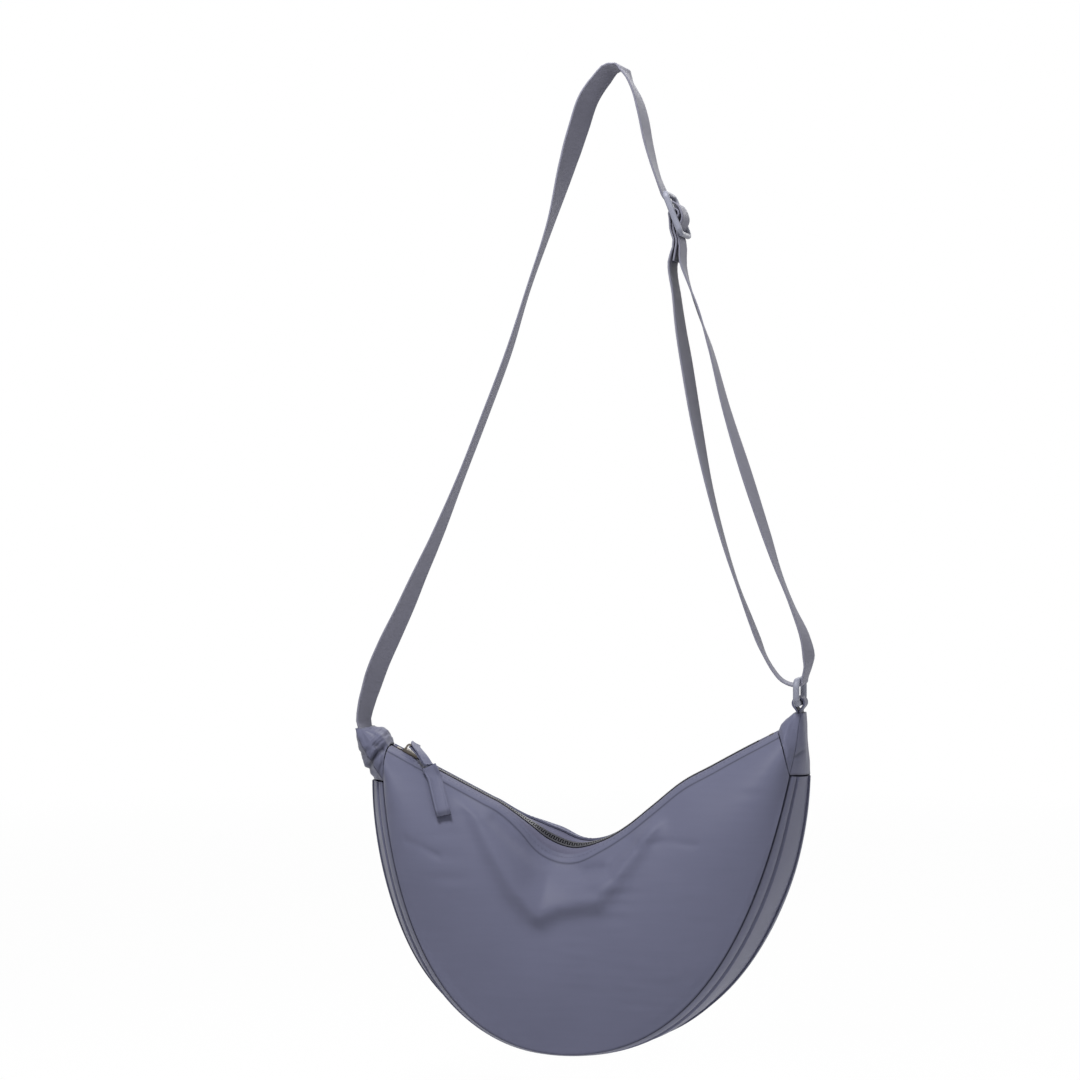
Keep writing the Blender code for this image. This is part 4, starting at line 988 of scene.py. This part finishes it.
def make_strap(webbing, thread):
    """The webbing in stretches; four of them ride on the strap or the adjuster, and the rest stay
    where they are.
    """
    frames, marks = fine_strap()
    tops = len(LEFT_BRANCH_SHARES) + 2
    hook = marks[tops + HOOK_POINTS - 1]
    run = tops + HOOK_POINTS + len(RIGHT_BRANCH_SHARES)
    run_start, run_end = marks[run], marks[run + RUN_POINTS - 1]
    last = len(frames) - 1
    bottom = min(range(run_end, last), key=lambda i: frames[i][0].z)
    tail_start = next(i for i in range(bottom, last)
                      if frames[i][0].z > -ADJUSTER_DROP - TAIL_RISE)

    def nearest(low, high, drop):
        return min(range(low, high), key=lambda i: abs(frames[i][0].z + drop))
    drops = (MIDDLE_DROP, RING_DROP, WRAP_DROP)
    right = [nearest(run_end, bottom, drop) for drop in drops]
    left = [nearest(bottom, tail_start, drop) for drop in reversed(drops)]
    cuts = [0, hook, run_start, run_end] + right + left + [tail_start, last]
    names = ("strap_left", "strap_top", "strap_run", "strap_right_upper", "strap_right_middle",
             "strap_right_lower", "strap_ring_wrap", "strap_inner_lower",
             "strap_inner_middle", "strap_inner_upper", "strap_tail")
    pieces = {}
    for name, low, high in zip(names, cuts, cuts[1:]):
        pieces[name] = ribbon_piece(name, frames[low:high + 1], WEB_WIDTH, WEB_THICKNESS,
                                    webbing)
    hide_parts("shoulder_strap")

    def at(index):
        return tuple(frames[index][0])
    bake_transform(pieces["strap_left"])
    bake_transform(pieces["strap_top"], "strap", "adjuster", at(hook), at(run_start))
    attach(pieces["strap_run"], "adjuster")
    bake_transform(pieces["strap_right_upper"], "adjuster", "strap", at(run_end), at(right[0]))
    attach(pieces["strap_right_middle"], "strap")
    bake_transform(pieces["strap_right_lower"], "strap", "bag", at(right[1]), at(right[2]))
    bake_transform(pieces["strap_ring_wrap"])
    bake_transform(pieces["strap_inner_lower"], "bag", "strap", at(left[0]), at(left[1]))
    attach(pieces["strap_inner_middle"], "strap")
    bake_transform(pieces["strap_inner_upper"], "strap", "adjuster", at(left[2]), at(tail_start))
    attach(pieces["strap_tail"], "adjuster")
    for row, steps in enumerate(TACK_ROWS):
        bar_tack(frames[last - steps], thread, row)


def bar_tack(place, thread, row):
    """One row of thread that sews the webbing's end to the strand beside it."""
    point, side, lift = place
    breadth = WEB_WIDTH * TACK_SHARE
    places = [point + side * breadth * (share - 0.5) - lift * WEB_THICKNESS / 2
              for share in spread(0.0, 1.0, int(breadth / STITCH_PITCH))]
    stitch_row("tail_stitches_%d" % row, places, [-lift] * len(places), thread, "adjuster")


# Corner patches

LOOP_SLACK = 0.0006  # room for the turned ring to swing in its loop
RING_PULL = 0.35  # how roundly a patch's section turns at its points
PATCH_ROWS = 56
PATCH_FINE = 12  # fine columns for each plain one
PATCH_SEAMS = (4, 10)  # where a patch's seams lie in its plain section
PATCH_FADE = 0.08  # share of a patch in which creases and seam lines fade, at its ends
PATCH_EDGE = 0.03  # share of it that painted shade darkens at its edge
# painted shade on a patch's seam lines
SEAM_SHADE = 0.75
GATHERS = 7  # gathers round a patch
GATHER_SHARE = 0.55  # their strength, against the crumples
SEAM_LINE_REACH = 1.2  # fine columns that a seam line's groove and painted shade reach on each side
CRUMPLE_PITCH = 0.007
LEFT_CRUMPLE = 0.0011
RIGHT_CRUMPLE = 0.0004
CREASES_LEFT = (  # route, depth, half width, painted shade
    (((-0.1525, -0.4430), (-0.1580, -0.4485), (-0.1645, -0.4575)), 0.0027, 0.0017, 0.75),
    (((-0.1572, -0.4403), (-0.1560, -0.4410)), 0.0016, 0.0013, 0.55),
    (((-0.1700, -0.4430), (-0.1655, -0.4440), (-0.1610, -0.4425)), 0.0011, 0.0014, 0.25),
    (((-0.1500, -0.4500), (-0.1540, -0.4560), (-0.1560, -0.4625)), 0.0008, 0.0011, 0.30))
CREASES_RIGHT = ((((0.1147, -0.4446), (0.1216, -0.4400)), 0.0009, 0.0011, 0.45),)
RIB_PITCH = 0.0019
RIB_HEIGHT = 0.00014
RIB_END = 0.6  # the ribs end at this share of the way to the mouth
CREASE_START = 0.35  # creases end at this share of half the depth behind the middle


def closed_curve(points, steps):
    """A smooth closed curve through a ring of points."""
    ring = []
    for index in range(len(points)):
        around = [points[(index + near) % len(points)] for near in (-1, 0, 1, 2)]
        ring += [eased(*around, step / steps, RING_PULL) for step in range(steps)]
    return ring


def swell_at(swell, share):
    """How far a patch swells, at a share of the way to its mouth."""
    stations = ((0.0, 0.0),) + swell + ((1.0, 0.0),)
    for (s0, b0), (s1, b1) in zip(stations, stations[1:]):
        if share <= s1:
            return lerp(b0, b1, soft_step((share - s0) / (s1 - s0)))
    return 0.0


def creased(point, share, side):
    """How deep a patch's creases press its front, and the painted shade in them."""
    deep = crease_shade = 0.0
    front = min(1.0, max(0.0, CREASE_START - point.y / END_HALF_DEPTH))
    for route, depth, reach, shade in CREASES_LEFT if side < 0 else CREASES_RIGHT:
        near = exp(-(distance_to(route, point.x, point.z)[0] / reach)**2) * front
        deep += depth * near
        crease_shade = max(crease_shade, shade * near)
    gap, above = distance_to(CREASES_LEFT[0][0], point.x, point.z)
    if side < 0 and above < 0 and share < RIB_END:
        deep += RIB_HEIGHT * cos(2 * pi * gap / RIB_PITCH) * front
    return deep, crease_shade


def make_patch(name, side, mouth, half_x, half_y, turn, swell, crumple, fabric):
    """A patch with gathers that start at its mouth and fade out towards the body."""
    gap_share = SEAM_GAP / CREST.length
    points, tones, faces = [], [], []
    for layer in (0, 1):
        plain = end_section(-gap_share if side < 0 else 1 + gap_share, FABRIC * layer)
        grow = FABRIC * (1 - layer)
        rim = mouth_section(mouth, half_x + grow, half_y + grow, turn, len(plain))
        if side > 0:
            rim = [Vector((2 * mouth.x - p.x, p.y, p.z)) for p in rim]
        first, last = closed_curve(plain, PATCH_FINE), closed_curve(rim, PATCH_FINE)
        middle = sum(first, Vector()) / len(first)
        for row in range(PATCH_ROWS + 1):
            share = row / PATCH_ROWS
            centre = lerp(middle, mouth, share)
            for column, (a, b) in enumerate(zip(first, last)):
                point = lerp(a, b, share)
                angle = 2 * pi * column / len(first)
                gather = cos(angle * GATHERS + 2.0 * sin(angle) + share * 1.5)
                bump = noise.noise(point / CRUMPLE_PITCH)
                lift = swell_at(swell, share)
                lift += crumple * sin(pi * share) * (GATHER_SHARE * gather * share + bump)
                # the seam columns, where a groove and painted shade lie
                away = min(abs(column - seam_shade * PATCH_FINE) for seam_shade in PATCH_SEAMS)
                line = max(0.0, 1 - away / SEAM_LINE_REACH)
                deep, crease_shade = creased(point, share, side)
                ends = min(1.0, share / PATCH_FADE, (1 - share) / PATCH_FADE)
                lift -= (deep + GROOVE_DEPTH * line) * ends
                points.append(point + (point - centre).normalized() * lift)
                # painted shade on the seam lines, in the creases and where the patch meets the
                # body
                edge = EDGE_SHADE * max(0.0, 1 - share / PATCH_EDGE)
                tones.append(max(SEAM_SHADE * line, crease_shade, edge))
    columns, rows = len(first), PATCH_ROWS + 1
    total = rows * columns
    add_grid(faces, rows, columns, 0, closed=True)
    add_grid(faces, rows, columns, total, closed=True)
    for start in (0, total - columns):
        for column in range(columns):
            a, b = start + column, start + (column + 1) % columns
            faces.append((a, b, b + total, a + total))
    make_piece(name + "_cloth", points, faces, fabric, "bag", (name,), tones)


def make_corners(fabric):
    """Both patches, and the folded loop that holds the ring."""
    room = GAP * 2
    bar = flat(RING_X, -RING_TOP_DROP - RING_BAR_SPACING)
    neck = flat(0.0, -LOOP_NECK)
    make_patch("left_corner_patch", -1, flat(-STRAP_REACH, -STRAP_DROP),
               WEB_THICKNESS / 2 + room * 1.5, WEB_WIDTH / 2 + room, radians(CORNER_TURN),
               LEFT_SWELL, LEFT_CRUMPLE, fabric)
    make_patch("right_corner_patch", 1, bar + neck, LOOP_THICKNESS + GAP + room,
               LOOP_WIDTH / 2 + room, 0.0, RIGHT_SWELL, RIGHT_CRUMPLE, fabric)
    wrap = RING_BAR / 2 + GAP + LOOP_SLACK + LOOP_THICKNESS / 2
    half = (LOOP_THICKNESS + GAP) / 2
    inward = ((CREST.at(1.0) + SEAM.at(1.0)) / 2 - bar - neck).normalized() * LOOP_INSERT
    legs = [[neck + inward + flat(x, 0.0), neck + flat(x, 0.0), neck * 0.72 + flat(x * 1.35, 0.0)]
            for x in (half, -half)]
    arc = [flat(cos(a), sin(a)) * wrap for a in map(radians, range(-30, 211, 30))]
    path = [bar + point for point in smooth_curve(legs[0] + arc + legs[1][::-1], 6)]
    ribbon_piece("corner_loop_cloth", frames_along(path, [ACROSS] * len(path)), LOOP_WIDTH,
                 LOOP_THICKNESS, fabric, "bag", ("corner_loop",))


def rounded_frame(axes, half_wide, half_down, corner, steps, section, size):
    """A frame with round corners. size gives its bar's half section at each turn."""
    middle, down, wide, out = axes
    points, faces = [], []
    for quarter, (a, b) in enumerate(((1, 1), (-1, 1), (-1, -1), (1, -1))):
        pivot = middle + wide * a * (half_wide - corner) + down * b * (half_down - corner)
        for step in range(steps + 1):
            angle = radians(90 * (quarter + step / steps))
            away = wide * cos(angle) + down * sin(angle)
            breadth, height = size(cos(angle)**2)
            points += [pivot + away * (corner + s * breadth) + out * t * height
                       for s, t in section]
    around = len(section)
    last = len(points) - around
    add_grid(faces, 4 * (steps + 1), around, 0, closed=True)
    faces += [(last + c, last + (c + 1) % around, (c + 1) % around, c) for c in range(around)]
    return points, faces


def oval(count, power):
    """Shares of half width and half thickness round a section."""
    return [squarish(2 * pi * index / count, power) for index in range(count)]


def make_ring(plastic):
    """The rounded rectangular ring. Its frame stands on edge, so up takes down's place."""
    half_y = WEB_WIDTH / 2 + RING_SIDE_CLEARANCE + RING_BAR / 2
    half_z = RING_BAR_SPACING / 2
    axes = flat(RING_X, -RING_TOP_DROP - half_z), flat(0.0, 1.0), ACROSS, flat(1.0, 0.0)
    points, faces = rounded_frame(axes, half_y, half_z, RING_BAR_SPACING * 0.30, 12,
                                  oval(24, 1.0), lambda rail: (RING_BAR / 2, RING_BAR / 2))
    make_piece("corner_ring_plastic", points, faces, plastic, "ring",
               ("corner_ring",))


RAIL_RISE = 0.0040  # a rail's thickness, outside the webbing's edge
FRAME_CORNER = 0.0036  # radius of the adjuster's corners, at their middle line
BAR_STEPS = 12  # steps along its middle bar


def make_adjuster(plastic):
    """The tri-glide with thick rounded rails, moulded in one piece."""
    middle, down, wide, out = adjuster_axes()
    half_wide = WEB_WIDTH / 2 + RAIL_CLEARANCE + RAIL_WIDTH / 2
    section = oval(20, 0.62)

    def size(rail):
        return (lerp(BAR_WIDTH, RAIL_WIDTH, rail) / 2, lerp(BAR_THICKNESS, RAIL_RISE, rail) / 2)
    points, faces = rounded_frame((middle, down, wide, out), half_wide, BAR_PITCH, FRAME_CORNER,
                                  8, section, size)
    base = len(points)
    for place in spread(-half_wide, half_wide, BAR_STEPS):
        points += [middle + wide * place + down * s * BAR_WIDTH / 2
                   + out * t * BAR_THICKNESS / 2 for s, t in section]
    add_grid(faces, BAR_STEPS + 1, len(section), base, closed=True)
    cap(faces, base, len(section))
    cap(faces, len(points) - len(section), len(section))
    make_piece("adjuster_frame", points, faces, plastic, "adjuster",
               ("strap_adjuster",))


LOOP_BREADTH = 0.0064  # the pull's loop, as wide as the bridge lets through
TAB_END = 0.0042  # length of the tab's last stretch, darkened with painted shade
TAB_STITCH_SHARE = 0.76  # the tab's stitches lie at this share of half its width


def make_pull(fabric, thread):
    """The folded loop round the slider's bridge and the hemmed tab sewn to it."""
    _, along, across, up = slider_frame()
    bar = bridge_bar()
    around = hypot(BRIDGE_WIDTH, BRIDGE_BAR) / 2 + GAP + PULL_PLY / 2
    lean = [bar + (along * a + across * b + up * c) * PULL_LENGTH
            for a, b, c in PULL_LOOP_SHARES]
    wrap = [bar + (across * cos(angle) + up * sin(angle)) * around
            for angle in map(radians, range(-120, 121, 40))]

    def front(u, v):
        return panel_point(u, v, -1)
    offset = PULL_TAB_THICKNESS / 2 + PULL_EASE
    rest = [front(u, v) - normal_of(front, u, v) * offset for u, v in PULL_TAB_SHARES]
    plies = [[], []]
    for before, point, after, apart in zip([bar] + lean, lean, lean[1:] + rest,
                                           PULL_SPREAD_SHARES):
        lift = (after - before).cross(along).normalized()
        for ply, sign in zip(plies, (-1, 1)):
            ply.append(point + lift * sign * apart * (PULL_PLY + GAP) / 2)
    path = smooth_curve(plies[0][::-1] + wrap + plies[1], 6)
    ribbon_piece("pull_loop_cloth", frames_along(path, [along] * len(path), True),
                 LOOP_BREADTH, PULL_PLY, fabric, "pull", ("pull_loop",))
    first = lerp(lean[-1], rest[0], GAP * 3 / (rest[0] - lean[-1]).length)
    path = smooth_curve([first] + rest, 10)
    tab = frames_along(path, [along] * len(path), True)
    # the tab's last stretch gets painted shade
    ribbon_piece("pull_tab_cloth", tab, PULL_TAB_WIDTH, PULL_TAB_THICKNESS, fabric,
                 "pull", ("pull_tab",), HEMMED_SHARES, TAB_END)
    for edge, name in ((-TAB_STITCH_SHARE, "left"), (TAB_STITCH_SHARE, "right")):
        curve = Curve([point + side * edge * PULL_TAB_WIDTH / 2 - lift * PULL_TAB_THICKNESS / 2
                       for point, side, lift in tab[2:-2]])
        shares = spread(0.0, 1.0, int(curve.length / STITCH_PITCH))
        normals = [-tab[2 + round(share * (len(tab) - 5))][2] for share in shares]
        stitch_row("pull_stitches_" + name, [curve.at(share) for share in shares], normals,
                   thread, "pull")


# The stage: camera, lamps, floor and world

PIXEL = 0.00065  # metres for each pixel of the photograph
PHOTO_SIZE = 1080
HOOK_COLUMN, HOOK_ROW = 618, 68  # where the strap's underside lies in it
CAMERA_TURN = radians(7.0)
CAMERA_DISTANCE = 1.5
SENSOR = 36.0
FLOOR_DROP = 0.700
FLOOR_HALF = 30.0  # half of the floor's width
WORLD_LEVEL = 0.28
GLOW_SHARE = 0.94  # of the floor's own glow, near the object
SHADOW_NEAR = 0.6
SHADOW_FAR = 2.2
LAMPS = (  # name, place, where it aims, size, power
    ("key", (-0.25, -0.66, 0.82), (-0.02, 0.0, -0.50), 0.40, 23.0),
    ("fill", (0.95, -0.90, 0.05), (0.0, 0.0, -0.45), 0.90, 3.0),
    ("back", (0.25, 1.10, 0.45), (0.0, 0.0, -0.40), 0.80, 6.0))


def make_camera():
    """The photo's view: the hook's underside falls on its place in the picture."""
    right = Vector((cos(CAMERA_TURN), sin(CAMERA_TURN), 0.0))
    ahead = Vector((-sin(CAMERA_TURN), cos(CAMERA_TURN), 0.0))
    centre = PHOTO_SIZE / 2
    target = right * (centre - HOOK_COLUMN) * PIXEL - flat(0.0, (centre - HOOK_ROW) * PIXEL)
    data = bpy.data.cameras.new("camera")
    data.sensor_width = SENSOR
    data.lens = SENSOR * CAMERA_DISTANCE / (PHOTO_SIZE * PIXEL)
    item = put("camera", data)
    item.location = target - ahead * CAMERA_DISTANCE
    item.rotation_euler = (pi / 2, 0.0, CAMERA_TURN)
    bpy.context.scene.camera = item


def make_lamps():
    for name, place, aim, size, power in LAMPS:
        data = bpy.data.lights.new(name, "AREA")
        data.size = size
        data.energy = power
        item = put(name, data)
        item.location = place
        item.rotation_euler = (Vector(aim) - Vector(place)).to_track_quat("-Z", "Y").to_euler()


def seen_plainly(tree):
    """1 for rays from the camera and from shiny or clear surfaces, else 0."""
    path = add_node(tree, "LightPath")
    shiny = compute(tree, "MAXIMUM", path["Is Glossy Ray"], path["Is Transmission Ray"])
    return compute(tree, "MAXIMUM", path["Is Camera Ray"], shiny)


def make_floor():
    """White like the world, and near the object it keeps a share of its shadow."""
    material = bpy.data.materials.new("floor")
    tree = make_tree(material)
    plain = tree.nodes["Principled BSDF"]
    feed(tree, plain, {"Base Color": (0.90, 0.90, 0.90, 1.0), "Roughness": 0.9,
                       "Specular IOR Level": 0.0})
    glow = add_node(tree, "Emission", {"Strength": 1.0})[0]
    place = add_node(tree, "TexCoord")["Object"]
    away = add_node(tree, "VectorMath", {0: place}, operation="LENGTH")["Value"]
    share = add_node(tree, "MapRange", {"Value": away, "From Min": SHADOW_NEAR,
                                        "From Max": SHADOW_FAR, "To Min": GLOW_SHARE,
                                        "To Max": 1.0})["Result"]
    seen = compute(tree, "MULTIPLY", seen_plainly(tree), share)
    mixed = add_node(tree, "MixShader", {0: seen, 1: plain.outputs[0], 2: glow})[0]
    feed(tree, tree.nodes["Material Output"], {"Surface": mixed})
    shape = bmesh.new()
    bmesh.ops.create_grid(shape, x_segments=2, y_segments=2, size=FLOOR_HALF)
    mesh = bpy.data.meshes.new("floor")
    shape.to_mesh(mesh)
    shape.free()
    mesh.materials.append(material)
    floor = put("floor", mesh)
    floor.location.z = -FLOOR_DROP


def make_world():
    world = bpy.data.worlds.new("studio")
    bpy.context.scene.world = world
    tree = make_tree(world)
    strength = compute(tree, "MULTIPLY_ADD", seen_plainly(tree), 1.0 - WORLD_LEVEL, WORLD_LEVEL)
    feed(tree, tree.nodes["Background"], {"Color": (1.0, 1.0, 1.0, 1.0), "Strength": strength})


SHELL_COLOUR = (0.108, 0.112, 0.168, 1.0)
STRAP_COLOUR = (0.180, 0.180, 0.228, 1.0)
MOULDED_COLOUR = (0.200, 0.208, 0.262, 1.0)
SLIDER_COLOUR = (0.170, 0.150, 0.128, 1.0)
CHAIN_COLOUR = (0.020, 0.020, 0.028, 1.0)
INNER_COLOUR = (0.105, 0.105, 0.158, 1.0)
THREAD_COLOUR = (0.105, 0.106, 0.162, 1.0)


def dress():
    fabric = cloth_material("satin_nylon", SHELL_COLOUR, 0.44, 0.00042, 0.00004, 0.03)
    webbing = cloth_material("nylon_webbing", STRAP_COLOUR, 0.58, 0.00110, 0.00005, 0.04,
                             along_strap=True)
    tape = cloth_material("woven_tape", INNER_COLOUR, 0.60, 0.00060, 0.00010, 0.10)
    lining = cloth_material("taffeta", INNER_COLOUR, 0.50, 0.00035, 0.00005, 0.20)
    thread = cloth_material("thread", THREAD_COLOUR, 0.55, 0.00020, 0.00004, 0.10)
    plastic = hard_material("moulded_plastic", MOULDED_COLOUR, 0.50, 0.0, 900.0)
    metal = hard_material("plated_metal", SLIDER_COLOUR, 0.36, 1.0, 1500.0)
    teeth = hard_material("moulded_chain", CHAIN_COLOUR, 0.42, 0.0, 1200.0)
    make_shell(fabric, lining, thread)
    make_pocket(lining)
    make_gusset(fabric, lining, thread)
    make_zip(tape, teeth, metal)
    make_strap(webbing, thread)
    make_corners(fabric)
    make_ring(plastic)
    make_adjuster(plastic)
    make_pull(fabric, thread)


bpy.context.scene.view_settings.view_transform = "Standard"
make_camera()
make_floor()
make_world()
make_lamps()
dress()
